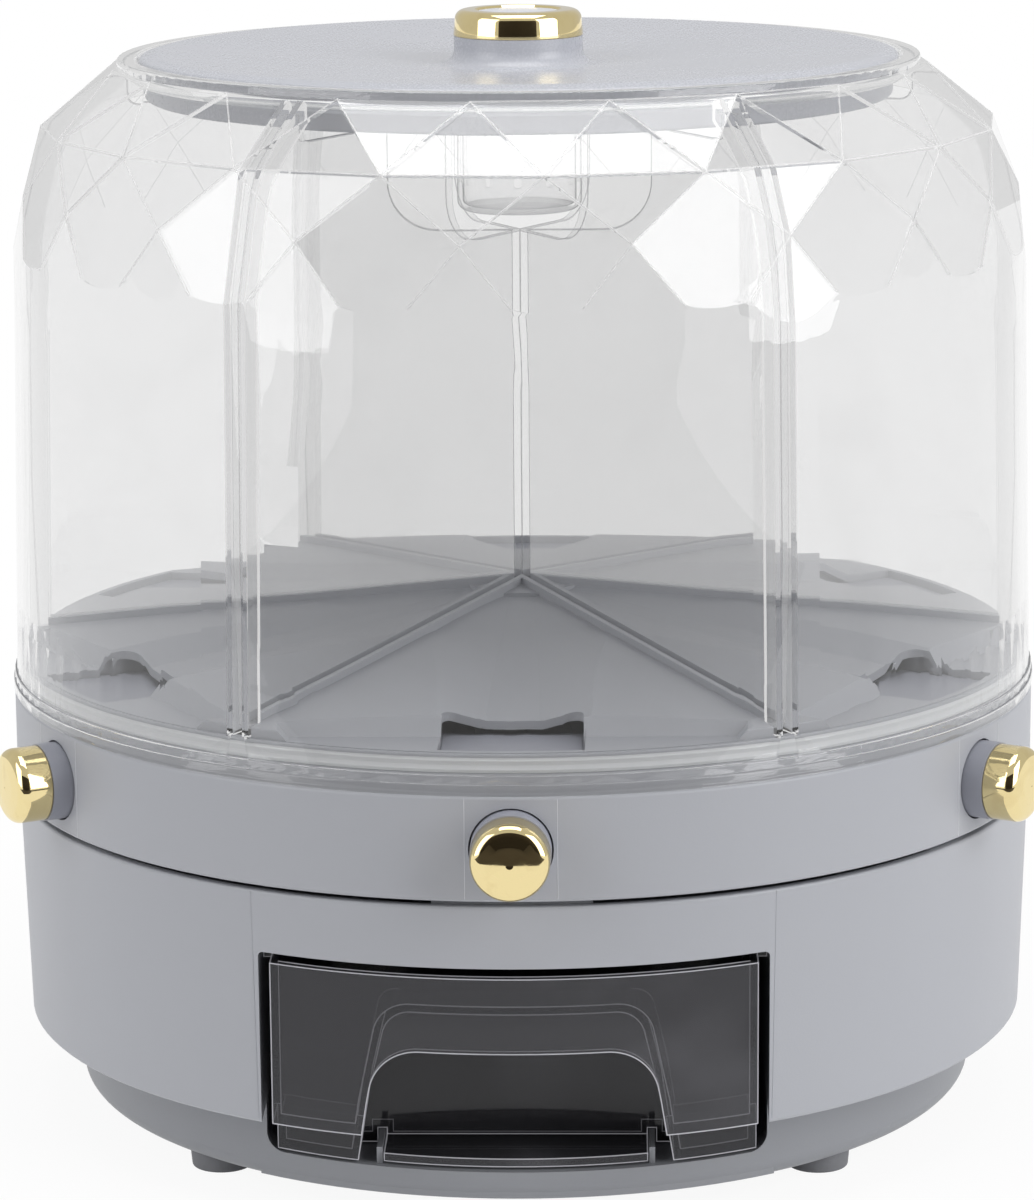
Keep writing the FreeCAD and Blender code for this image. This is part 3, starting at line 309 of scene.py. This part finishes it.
def makeClearPlastic(name, s):
    material, tree, shader, out = startMaterial(name)
    addPolish(tree, shader, s)
    shader.inputs["IOR"].default_value = s["index"]
    shader.inputs["Transmission Weight"].default_value = 1
    # lamps pass straight through, so the inside is lit
    path = addNode(tree, "ShaderNodeLightPath", (0, 500))
    through = addNode(tree, "ShaderNodeBsdfTransparent", (200, -300))
    through.inputs["Color"].default_value = linear(*s["lampColour"])
    lampRay = addEither(tree, path.outputs["Is Shadow Ray"], path.outputs["Is Diffuse Ray"], (200, 450))
    lit = addMix(tree, lampRay, shader.outputs[0], through.outputs[0], (450, 100))
    # light that has wandered long inside the wall, past more surfaces than the set depth, gets a pale grey glow
    # instead: painted light
    deep = addNode(tree, "ShaderNodeMath", (450, 450), operation="GREATER_THAN")
    deep.inputs[1].default_value = s["paintedGlowDepth"]
    tree.links.new(path.outputs["Ray Depth"], deep.inputs[0])
    pale = addNode(tree, "ShaderNodeEmission", (450, -200))
    pale.inputs["Color"].default_value = linear(*s["paintedGlowColour"])
    last = addMix(tree, deep.outputs[0], lit, pale.outputs[0], (650, 100))
    tree.links.new(last, out.inputs["Surface"])
    return material


def makeClearSheet(name, s):  # thin flat sheet: light goes straight through, its edges draw fine grey lines, painted shade tinted in where the sheet is seen edge on
    material, tree, shader, out = startMaterial(name)
    tree.nodes.remove(shader)
    marks = addMarks(tree, s)
    graze = addNode(tree, "ShaderNodeLayerWeight", (-700, 400))
    graze.inputs["Blend"].default_value = s["edgeBlend"]
    steep = addRange(tree, graze.outputs["Facing"], s["edgeStart"], 1, 0, 1, (-480, 400))
    through = addNode(tree, "ShaderNodeBsdfTransparent", (0, 350))
    tree.links.new(addTint(tree, steep, s["colour"], s["grazingShadeColour"], (-250, 350)), through.inputs["Color"])
    gloss = addNode(tree, "ShaderNodeBsdfGlossy", (0, 100))
    tree.links.new(marks.outputs["Roughness"], gloss.inputs["Roughness"])
    fresnel = addNode(tree, "ShaderNodeFresnel", (0, 600))
    fresnel.inputs["IOR"].default_value = s["index"]
    # the gloss sits on the near face only: light leaves the far face unbent
    side = addNode(tree, "ShaderNodeNewGeometry", (-250, 800))
    nearFace = addNode(tree, "ShaderNodeMath", (0, 800), operation="SUBTRACT")
    nearFace.inputs[0].default_value = 1
    tree.links.new(side.outputs["Backfacing"], nearFace.inputs[1])
    share = addNode(tree, "ShaderNodeMath", (150, 650), operation="MULTIPLY")
    tree.links.new(fresnel.outputs[0], share.inputs[0])
    tree.links.new(nearFace.outputs[0], share.inputs[1])
    clear = addMix(tree, share.outputs[0], through.outputs[0], gloss.outputs[0], (300, 300))
    # a blade seen face on veils what stands behind it with a pale glow: painted light
    glowShare = addRange(tree, graze.outputs["Facing"], s["hazeGlowStart"], s["hazeGlowEnd"], s["hazeGlow"], 0, (150, 850))
    pale = addNode(tree, "ShaderNodeEmission", (300, 0))
    pale.inputs["Color"].default_value = linear(*s["hazeGlowColour"])
    tree.links.new(addMix(tree, glowShare, clear, pale.outputs[0], (550, 200)), out.inputs["Surface"])
    return material


def makeSmokyPlastic(name, s):  # dark see-through moulding: a grey body that lets part of the light straight through
    material, tree, shader, out = startMaterial(name)
    addPolish(tree, shader, s)
    shader.inputs["IOR"].default_value = s["index"]
    shader.inputs["Alpha"].default_value = s["cover"]
    return material


def makeEdgeHighlight(name, s):  # rounded arris of a clear part: a pale line that still lets light by, its paleness and glow a painted edge highlight
    material, tree, shader, out = startMaterial(name)
    skin = addSkin(tree, shader, s)
    shader.inputs["Alpha"].default_value = s["cover"]
    # the line glows with its own colour, painted light for light that runs inside the wall and leaves at its edges
    tree.links.new(skin.outputs["Colour"], shader.inputs["Emission Color"])
    shader.inputs["Emission Strength"].default_value = s["glow"]
    return material


def makePlating(name, s):
    material, tree, shader, out = startMaterial(name)
    addPolish(tree, shader, s)
    shader.inputs["Metallic"].default_value = 1
    return material


plasticIndex = 1.5
plasticSettings = {
    "bodyGrey": {
        "colour": (168, 170, 176), "mottle": 0.03, "grain": 1400, "gloss": 0.42, "glossChange": 0.1, "depth": 0.00002,
    },
    # paler than the body grey, for the ring seams and hopper lines: painted highlight on raised lines
    "arrisHighlightGrey": {
        "colour": (214, 216, 220), "mottle": 0.02, "grain": 1400, "gloss": 0.3, "glossChange": 0.05, "depth": 0.00001,
    },
    # lid grey is the body grey made lighter: painted light on the lamp-facing top
    "lidLitGrey": {
        "colour": (181, 183, 190), "mottle": 0.03, "grain": 1400, "gloss": 0.27, "glossChange": 0.08, "depth": 0.00002,
    },
    # plinth grey is the body grey made darker: painted shade of the recessed plinth
    "plinthShadedGrey": {
        "colour": (142, 144, 149), "mottle": 0.03, "grain": 1400, "gloss": 0.45, "glossChange": 0.1, "depth": 0.00002,
    },
    "stemGrey": {
        "colour": (150, 152, 162), "mottle": 0.03, "grain": 1800, "gloss": 0.4, "glossChange": 0.08, "depth": 0.00001,
    },
    "knobGrey": {
        "colour": (205, 207, 214), "mottle": 0.03, "grain": 1600, "gloss": 0.35, "glossChange": 0.08, "depth": 0.00001,
    },
    "rollerWhite": {
        "colour": (235, 235, 231), "mottle": 0.03, "grain": 1200, "gloss": 0.3, "glossChange": 0.08, "depth": 0.00001,
    },
    "siliconeMilky": {
        "colour": (214, 216, 218), "mottle": 0.05, "grain": 700, "gloss": 0.5, "glossChange": 0.1, "depth": 0.00002,
    },
    "footRubber": {
        "colour": (122, 123, 127), "mottle": 0.12, "grain": 700, "gloss": 0.7, "glossChange": 0.12, "depth": 0.00005,
    },
}
clearSettings = {
    "clearStyrene": {
        "colour": (249, 249, 249), "smearColour": (245, 245, 245), "lampColour": (238, 238, 238), "index": 1.49,
        # rays deeper than three surfaces glow pale grey: painted light
        "paintedGlowDepth": 3, "paintedGlowColour": (226, 226, 226),
        "smearSize": 24, "clean": 0.0, "smeared": 0.05, "depth": 0.0000006,
    },
}
sheetSettings = {
    "clearSheet": {
        # grey tint where the sheet is seen edge on: painted shade
        "colour": (251, 251, 251), "grazingShadeColour": (170, 171, 173), "edgeBlend": 0.5, "edgeStart": 0.72, "index": 1.45,
        # pale glow on blades seen face on: painted light
        "hazeGlow": 0.18, "hazeGlowStart": 0.1, "hazeGlowEnd": 0.42, "hazeGlowColour": (236, 236, 237),
        "smearSize": 24, "clean": 0.02, "smeared": 0.08,
    },
}
smokySettings = {
    "smokyStyrene": {
        "colour": (63, 63, 67), "smearColour": (98, 98, 103), "cover": 0.62, "index": 1.5,
        "smearSize": 14, "clean": 0.03, "smeared": 0.14, "depth": 0.000001,
    },
}
# pale, faintly glowing lines on rounded arrises: painted edge highlights
edgeHighlightSettings = {
    "sheetEdgeHighlight": {
        "colour": (168, 169, 172), "mottle": 0.03, "grain": 900, "gloss": 0.25, "cover": 0.5, "glow": 0.04,
    },
    "facetEdgeHighlight": {
        "colour": (232, 232, 232), "mottle": 0.02, "grain": 900, "gloss": 0.2, "cover": 0.3, "glow": 0.12,
    },
    "smokyEdgeHighlight": {
        "colour": (178, 178, 184), "mottle": 0.04, "grain": 900, "gloss": 0.25, "cover": 0.8, "glow": 0.22,
    },
}
platingSettings = {
    "paleGold": {
        "colour": (238, 220, 166), "smearColour": (230, 210, 156),
        "smearSize": 160, "clean": 0.03, "smeared": 0.07, "depth": 0.0000004,
    },
    "zincSteel": {
        "colour": (196, 197, 199), "smearColour": (168, 168, 166),
        "smearSize": 300, "clean": 0.25, "smeared": 0.4, "depth": 0.000004,
    },
    "springWire": {
        "colour": (190, 190, 192), "smearColour": (160, 160, 160),
        "smearSize": 400, "clean": 0.2, "smeared": 0.34, "depth": 0.000002,
    },
}

finish = {}
for makeFinish, settings in (
    (makeMouldedPlastic, plasticSettings),
    (makeClearPlastic, clearSettings),
    (makeClearSheet, sheetSettings),
    (makeSmokyPlastic, smokySettings),
    (makeEdgeHighlight, edgeHighlightSettings),
    (makePlating, platingSettings),
):
    for name, s in settings.items():
        finish[name] = makeFinish(name, s)
print("materials made,", len(finish))


# copies of solids, welded where their faces meet

weldDistance = 0.000002
flatAngle = 0.6  # degrees: flatter edges go


def weldedCopy(node, flatten=False):
    tidy = bmesh.new()
    tidy.from_mesh(cadNodes[node].data)
    bmesh.ops.remove_doubles(tidy, verts=tidy.verts, dist=weldDistance)
    if flatten:
        bmesh.ops.dissolve_limit(tidy, angle_limit=math.radians(flatAngle), verts=tidy.verts, edges=tidy.edges)
    return tidy


def newPiece(name, mesh, sharpness, *finishes):
    mesh.set_sharp_from_angle(angle=math.radians(sharpness))
    for each in finishes:
        mesh.materials.append(finish[each])
    piece = bpy.data.objects.new(name, mesh)
    scene.collection.objects.link(piece)
    return piece


def smoothMesh(name, tidy):
    for face in tidy.faces:
        face.smooth = True
    mesh = bpy.data.meshes.new(name)
    tidy.to_mesh(mesh)
    tidy.free()
    return mesh


# the divider's edges are rounded, so that they catch the light; the rounded faces also take a pale glowing finish, a
# painted edge highlight

dividerSettings = {
    "node": "star_divider", "body": "drum", "slot": "clear_plastic", "finish": "clearSheet", "edge": "sheetEdgeHighlight",
    "round": 0.0004, "segments": 2, "cornerAngle": 25, "sharpness": 20,
}


def makeDivider(s):
    tidy = weldedCopy(s["node"], flatten=True)
    corners = [e for e in tidy.edges if e.calc_face_angle(0) > math.radians(s["cornerAngle"])]
    rounded = bmesh.ops.bevel(
        tidy, geom=corners, offset=s["round"], offset_type="OFFSET", segments=s["segments"], profile=0.5,
        affect="EDGES", clamp_overlap=True, loop_slide=True,
    )
    # the rounded faces get the pale glowing edge finish: painted highlight
    for face in rounded["faces"]:
        face.material_index = 1
    piece = newPiece("starDivider", smoothMesh("starDivider", tidy), s["sharpness"], s["finish"], s["edge"])
    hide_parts(s["node"])
    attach(piece, s["body"])


# the clear shell keeps its form; only the facets' ridges turn crisp

shellSettings = {
    "node": "clear_shell", "body": "drum", "slot": "clear_plastic", "finish": "clearStyrene", "sharpness": 5.5,
}


def makeClearShell(s):
    piece = newPiece("clearShell", smoothMesh("clearShell", weldedCopy(s["node"])), s["sharpness"], s["finish"])
    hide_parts(s["node"])
    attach(piece, s["body"])


makeClearShell(shellSettings)
makeDivider(dividerSettings)
print("clear shell and divider made")


# the plated ring round the knob leans in a little towards its top

knobRingSettings = {
    "node": "knob_ring", "body": "lid", "slot": "gold_plate", "finish": "paleGold", "sharpness": 35,
    "around": 192, "steps": 10, "soft": 0.0004,
    "hole": 0.01204, "seat": 0.01504, "foot": 0.3124, "step": 0.31654, "face": 0.3193, "top": 0.3199,
    "footRadius": 0.01872, "waistRadius": 0.0183, "waist": 0.3172, "topRadius": 0.0154, "lipRadius": 0.0126,
}


def knobRingProfile(s):
    profile = [(s["seat"], s["foot"]), (s["footRadius"] - s["soft"], s["foot"])]
    quarter = [math.pi / 2 * k / s["steps"] for k in range(s["steps"] + 1)]
    for a in quarter[1:]:
        rounding = (1 - math.sin(a), 1 - math.cos(a))
        profile.append((s["footRadius"] - s["soft"] * rounding[0], s["foot"] + s["soft"] * rounding[1]))
    for a in quarter:
        radius = s["topRadius"] + (s["waistRadius"] - s["topRadius"]) * math.cos(a)
        profile.append((radius, s["waist"] + (s["top"] - s["waist"]) * math.sin(a)))
    return profile + [
        (s["lipRadius"], s["top"]), (s["hole"], s["face"]), (s["hole"], s["step"]), (s["seat"], s["step"]),
    ]


def makeKnobRing(s):
    profile, around = knobRingProfile(s), s["around"]
    count = len(profile)
    points, faces = [], []
    for i in range(around):
        a = 2 * math.pi * i / around
        points += [(r * math.cos(a), r * math.sin(a), z) for r, z in profile]
    for i in range(around):
        here, there = i * count, (i + 1) % around * count
        for k in range(count):
            n = (k + 1) % count
            faces.append((here + k, there + k, there + n, here + n))
    mesh = bpy.data.meshes.new("knobRing")
    mesh.from_pydata(points, [], faces)
    for polygon in mesh.polygons:
        polygon.use_smooth = True
    piece = newPiece("knobRing", mesh, s["sharpness"], s["finish"])
    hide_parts(s["node"])
    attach(piece, s["body"])


makeKnobRing(knobRingSettings)
print("knob ring turned")


# the return springs, between the drum's abutment and the button's bulkhead, as welded copies of the solids

springSettings = {
    "slot": "spring_steel", "finish": "springWire", "sharpness": 40,
    "height": 0.1103, "inner": 0.0991, "outer": 0.1249,
}


def makeSprings(s):
    for k in sectors:
        name, node = f"returnSpring{k}", f"return_spring_{k}"
        mesh = smoothMesh(name, weldedCopy(node))
        piece = newPiece(name, mesh, s["sharpness"], s["finish"])
        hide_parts(node)
        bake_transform(piece)


makeSprings(springSettings)
print("springs wound,", len(sectors))


# fine raised lines: mould witness lines and moulded arrises, rolled along their paths; all but the base seam are paler
# than the surface they sit on, painted highlights, and the facet and drawer lines glow as well

lineSettings = {
    # real mould lines, coloured pale as a painted highlight
    "ringSeams": {
        "body": "drum", "slot": "grey_plastic", "finish": "arrisHighlightGrey", "width": 0.00016, "sides": 6,
        "apart": 0.0124, "radius": 0.14998, "low": 0.0966, "high": 0.1240, "steps": 12,
    },
    # pale lines beside each blade's foot: painted highlights
    "hopperArrisHighlights": {
        "body": "drum", "slot": "grey_plastic", "finish": "arrisHighlightGrey", "width": 0.00042, "sides": 6,
        "apart": 0.0021, "inner": 0.016, "outer": 0.1275, "peak": 0.1526, "fall": 0.0948, "steps": 24,
    },
    # pale glowing tubes on the drawer front's edges: painted highlights
    "drawerArrisHighlights": {
        "body": "drawer", "slot": "smoky_plastic", "finish": "smokyEdgeHighlight", "width": 0.00036, "sides": 8,
        "node": "drawer_bin", "sharpness": 25, "front": -0.100,
    },
    # pale glowing tubes on the facet ridges: painted highlights
    "facetArrisHighlights": {
        "body": "drum", "slot": "clear_plastic", "finish": "facetEdgeHighlight", "width": 0.0006, "sides": 8,
        "node": "clear_shell", "shortest": 0.016, "bluntest": 6, "sharpest": 45,
        "low": 0.250, "inner": 0.116, "sunk": 0.0003,
    },
    "baseSeam": {
        "body": "base", "slot": "grey_plastic", "finish": "bodyGrey", "width": 0.00016, "sides": 6,
        "turns": (-28.4, 28.4), "radius": 0.14945, "taper": 0.029, "low": 0.0290, "high": 0.0938, "steps": 16,
    },
}


def turnedAbout(x, y, degrees):
    a = math.radians(degrees)
    return x * math.cos(a) - y * math.sin(a), x * math.sin(a) + y * math.cos(a)


def between(low, high, steps):
    return [low + (high - low) * k / steps for k in range(steps + 1)]


def ringSeamPaths(s):
    paths = []
    for k in sectors:
        for side in (-1, 1):
            x = side * s["apart"]
            y = -math.sqrt(s["radius"] ** 2 - x ** 2)
            foot = turnedAbout(x, y, sectorTurn * (k - 1))
            paths.append([foot + (z,) for z in between(s["low"], s["high"], s["steps"])])
    return paths


def hopperArrisPaths(s):
    paths = []
    for k in sectors:
        turn = sectorTurn * (k - 0.5)
        for side in (-1, 1):
            x = side * s["apart"]
            reaches = between(s["inner"], s["outer"], s["steps"])
            paths.append([turnedAbout(x, -r, turn) + (s["peak"] - s["fall"] * r,) for r in reaches])
    return paths


def baseSeamPaths(s):
    paths = []
    for turn in s["turns"]:
        heights = between(s["low"], s["high"], s["steps"])
        paths.append([turnedAbout(0, s["taper"] * (s["high"] - z) - s["radius"], turn) + (z,) for z in heights])
    return paths


def facetArrisPaths(s):  # the ridges between the outer facets, traced for pale glowing lines that paint their highlights
    tidy = weldedCopy(s["node"], flatten=True)
    paths = []
    for edge in tidy.edges:
        bend = math.degrees(edge.calc_face_angle(0))
        if edge.calc_length() < s["shortest"] or not s["bluntest"] < bend < s["sharpest"]:
            continue
        ends = [v.co.copy() for v in edge.verts]
        away = Vector((ends[0].x + ends[1].x, ends[0].y + ends[1].y, 0)).normalized()
        outward = all(face.normal.dot(away) > 0 for face in edge.link_faces)
        if outward and all(v.z > s["low"] and math.hypot(v.x, v.y) > s["inner"] for v in ends):
            paths.append([tuple(v - away * s["sunk"]) for v in ends])
    tidy.free()
    return paths


def drawerArrisPaths(s):  # the sharp edges of the solid's front, traced for pale glowing lines that paint their highlights
    tidy = weldedCopy(s["node"], flatten=True)
    paths = []
    for edge in tidy.edges:
        ends = [tuple(v.co) for v in edge.verts]
        if edge.calc_face_angle(0) > math.radians(s["sharpness"]) and all(end[1] < s["front"] for end in ends):
            paths.append(ends)
    tidy.free()
    return paths


def makeRolledLine():
    tree = bpy.data.node_groups.new("rolledLine", "GeometryNodeTree")
    tree.interface.new_socket("Paths", in_out="INPUT", socket_type="NodeSocketGeometry")
    sockets = {}
    for label, kind in (("Width", "Float"), ("Sides", "Int"), ("Material", "Material")):
        sockets[label] = tree.interface.new_socket(label, in_out="INPUT", socket_type="NodeSocket" + kind).identifier
    tree.interface.new_socket("Lines", in_out="OUTPUT", socket_type="NodeSocketGeometry")
    link = tree.links.new
    inward = addNode(tree, "NodeGroupInput", (-900, 0))
    outward = addNode(tree, "NodeGroupOutput", (900, 0))
    curve = addNode(tree, "GeometryNodeMeshToCurve", (-600, 100))
    link(inward.outputs["Paths"], curve.inputs["Mesh"])
    half = addNode(tree, "ShaderNodeMath", (-600, -200), operation="MULTIPLY")
    half.inputs[1].default_value = 0.5
    link(inward.outputs["Width"], half.inputs[0])
    profile = addNode(tree, "GeometryNodeCurvePrimitiveCircle", (-400, -150))
    link(inward.outputs["Sides"], profile.inputs["Resolution"])
    link(half.outputs[0], profile.inputs["Radius"])
    roll = addNode(tree, "GeometryNodeCurveToMesh", (-100, 50))
    link(curve.outputs["Curve"], roll.inputs["Curve"])
    link(profile.outputs["Curve"], roll.inputs["Profile Curve"])
    roll.inputs["Fill Caps"].default_value = True
    smooth = addNode(tree, "GeometryNodeSetShadeSmooth", (150, 50))
    link(roll.outputs["Mesh"], smooth.inputs["Geometry"])
    real = addNode(tree, "GeometryNodeRealizeInstances", (350, 50))
    link(smooth.outputs["Geometry"], real.inputs["Geometry"])
    dress = addNode(tree, "GeometryNodeSetMaterial", (600, 50))
    link(real.outputs["Geometry"], dress.inputs["Geometry"])
    link(inward.outputs["Material"], dress.inputs["Material"])
    link(dress.outputs["Geometry"], outward.inputs["Lines"])
    return tree, sockets


rolledLine, rolledSockets = makeRolledLine()


def makeLines(name, s, paths):
    points, edges = [], []
    for path in paths:
        edges += [(len(points) + k, len(points) + k + 1) for k in range(len(path) - 1)]
        points += path
    mesh = bpy.data.meshes.new(name + "Paths")
    mesh.from_pydata(points, edges, [])
    weld = bmesh.new()
    weld.from_mesh(mesh)
    bmesh.ops.remove_doubles(weld, verts=weld.verts, dist=weldDistance)
    weld.to_mesh(mesh)
    weld.free()
    piece = bpy.data.objects.new(name, mesh)
    scene.collection.objects.link(piece)
    modifier = piece.modifiers.new("rolled", "NODES")
    modifier.node_group = rolledLine
    modifier[rolledSockets["Width"]] = s["width"]
    modifier[rolledSockets["Sides"]] = s["sides"]
    modifier[rolledSockets["Material"]] = finish[s["finish"]]
    evaluated = piece.evaluated_get(bpy.context.evaluated_depsgraph_get())
    rolled = bpy.data.meshes.new_from_object(evaluated)
    piece.modifiers.clear()
    piece.data = rolled
    bpy.data.meshes.remove(mesh)
    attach(piece, s["body"])


for name, findPaths in (
    ("ringSeams", ringSeamPaths),
    ("hopperArrisHighlights", hopperArrisPaths),
    ("drawerArrisHighlights", drawerArrisPaths),
    ("facetArrisHighlights", facetArrisPaths),
    ("baseSeam", baseSeamPaths),
):
    makeLines(name, lineSettings[name], findPaths(lineSettings[name]))
print("lines rolled,", len(lineSettings))


# finishes of the solids that stay

solidFinish = {
    "bodyGrey": ["base_shell", "base_deck", "hopper_tray", "drum_underplate"],
    "lidLitGrey": ["lid_cover"],
    "plinthShadedGrey": ["plinth_cover"],
    "stemGrey": [f"gate_slider_{k}" for k in sectors],
    "knobGrey": ["knob_cap"],
    "rollerWhite": [f"roller_{k}" for k in sectors],
    "siliconeMilky": ["shell_seal", "lid_seal"],
    "footRubber": ["rubber_feet"],
    "clearSheet": ["desiccant_holder"],
    "smokyStyrene": ["drawer_bin"],
    "paleGold": [f"button_cap_{k}" for k in sectors],
    "zincSteel": [
        "roller_pins", "pivot_spindle", "pivot_washer", "pivot_screw",
        "plinth_screws", "deck_screws", "underplate_screws",
    ],
}
for name, members in solidFinish.items():
    for member in members:
        mesh = cadNodes[member].data
        mesh.materials.clear()
        mesh.materials.append(finish[name])
finished = {member for members in solidFinish.values() for member in members}
print("solids finished,", len(finished), "; replaced:", sorted(set(cadNodes) - finished))


# floor, light and air

studioSettings = {
    "floorSize": 12.0,
    "floorColour": (240, 240, 241),
    "floorShade": (237, 237, 238),
    "floorCloud": 3,
    "floorRoughness": 0.8,
    "nearGlow": 0.92,  # share of the floor that is plain white to the camera, under the part
    "farGlow": 1.0,
    "nearRadius": 0.10,
    "farRadius": 0.45,
    "airLevel": 0.35,
    "mirrorLevel": 0.62,
    "bounces": 32,
}
lampSettings = {
    "overhead": {"place": (0.0, -0.10, 1.55), "aim": (0.0, 0.0, 0.2), "size": (1.1, 0.9), "level": 3.6},
    "leftBox": {"place": (-1.53, -0.95, 0.86), "aim": (0.0, 0.0, 0.3), "size": (1.25, 1.6), "level": 2.25},
    "rightBox": {"place": (1.53, -0.95, 0.86), "aim": (0.0, 0.0, 0.3), "size": (1.25, 1.6), "level": 3.7},
}
openingSettings = {
    "halfWidth": 1.05, "near": -0.56, "far": -1.55, "low": 0.002, "top": 1.15,
    "colour": (52, 44, 40), "shade": (31.2, 26.4, 24), "cloud": 2, "roughness": 0.9,
}


def makeLamp(name, s):
    data = bpy.data.lights.new(name, "AREA")
    data.shape = "RECTANGLE"
    data.size, data.size_y = s["size"]
    data.energy = s["level"] * math.pi * s["size"][0] * s["size"][1]
    lamp = bpy.data.objects.new(name, data)
    lamp.location = s["place"]
    away = Vector(s["place"]) - Vector(s["aim"])
    lamp.rotation_euler = away.to_track_quat("Z", "Y").to_euler()
    scene.collection.objects.link(lamp)


def makeWorld(s):
    world = bpy.data.worlds.new("studioAir")
    scene.world = world
    world.use_nodes = True
    tree = world.node_tree
    base = tree.nodes["Background"]
    base.inputs["Color"].default_value = (1, 1, 1, 1)
    path = addNode(tree, "ShaderNodeLightPath", (-600, 200))
    level = addRange(tree, path.outputs["Is Glossy Ray"], 0, 1, s["airLevel"], s["mirrorLevel"], (-350, -100))
    tree.links.new(level, base.inputs["Strength"])
    white = addNode(tree, "ShaderNodeBackground", (0, -200))
    white.inputs["Color"].default_value = (1, 1, 1, 1)
    white.inputs["Strength"].default_value = 1
    seen = addEither(tree, path.outputs["Is Camera Ray"], path.outputs["Is Transmission Ray"], (-350, 250))
    mix = addMix(tree, seen, base.outputs[0], white.outputs[0], (200, 0))
    tree.links.new(mix, tree.nodes["World Output"].inputs["Surface"])


def addCloudTint(tree, shader, size, first, second, roughness):
    noise = addNode(tree, "ShaderNodeTexNoise", (-500, 0))
    noise.inputs["Scale"].default_value = size
    tree.links.new(addTint(tree, noise.outputs["Fac"], first, second), shader.inputs["Base Color"])
    shader.inputs["Roughness"].default_value = roughness


def makeFloor(s):
    material, tree, shader, out = startMaterial("floorPaper")
    addCloudTint(tree, shader, s["floorCloud"], s["floorColour"], s["floorShade"], s["floorRoughness"])
    glow = addNode(tree, "ShaderNodeEmission", (0, -400))
    glow.inputs["Strength"].default_value = 1
    # the glow fades towards the middle, where the part throws its shadow
    spot = addNode(tree, "ShaderNodeTexCoord", (-900, 900))
    away = addNode(tree, "ShaderNodeVectorMath", (-700, 900), operation="LENGTH")
    tree.links.new(spot.outputs["Object"], away.inputs[0])
    spread = addRange(
        tree, away.outputs["Value"], s["nearRadius"], s["farRadius"], s["nearGlow"], s["farGlow"], (-500, 900),
        interpolation_type="SMOOTHSTEP",
    )
    path = addNode(tree, "ShaderNodeLightPath", (-600, 600))
    seen = addEither(tree, path.outputs["Is Camera Ray"], path.outputs["Is Transmission Ray"], (-350, 600))
    seen = addEither(tree, seen, path.outputs["Is Glossy Ray"], (-250, 500))
    share = addNode(tree, "ShaderNodeMath", (-150, 600), operation="MULTIPLY")
    tree.links.new(seen, share.inputs[0])
    tree.links.new(spread, share.inputs[1])
    mix = addMix(tree, share.outputs[0], shader.outputs[0], glow.outputs[0], (400, 0))
    tree.links.new(mix, out.inputs["Surface"])
    half = s["floorSize"] / 2
    mesh = bpy.data.meshes.new("studioFloor")
    mesh.from_pydata([(-half, -half, 0), (half, -half, 0), (half, half, 0), (-half, half, 0)], [], [(0, 1, 2, 3)])
    mesh.materials.append(material)
    floor = bpy.data.objects.new("studioFloor", mesh)
    scene.collection.objects.link(floor)


def makeOpening(s):  # the dark open front of the light tent, seen only in reflections
    material, tree, shader, out = startMaterial("tentOpening")
    addCloudTint(tree, shader, s["cloud"], s["colour"], s["shade"], s["roughness"])
    rows = [(s["near"], s["low"]), (s["far"], s["low"]), (s["far"], s["top"])]
    corners = [(x, y, z) for y, z in rows for x in (-s["halfWidth"], s["halfWidth"])]
    mesh = bpy.data.meshes.new("tentOpening")
    mesh.from_pydata(corners, [], [(0, 1, 3, 2), (2, 3, 5, 4)])
    mesh.materials.append(material)
    card = bpy.data.objects.new("tentOpening", mesh)
    for ray in ("camera", "transmission", "volume_scatter", "shadow"):
        setattr(card, "visible_" + ray, False)
    scene.collection.objects.link(card)


for name, s in lampSettings.items():
    makeLamp(name, s)
makeWorld(studioSettings)
makeFloor(studioSettings)
makeOpening(openingSettings)
for kind in ("max_bounces", "transmission_bounces", "transparent_max_bounces"):
    setattr(scene.cycles, kind, studioSettings["bounces"])
scene.view_settings.view_transform = "Standard"
print("studio lit")
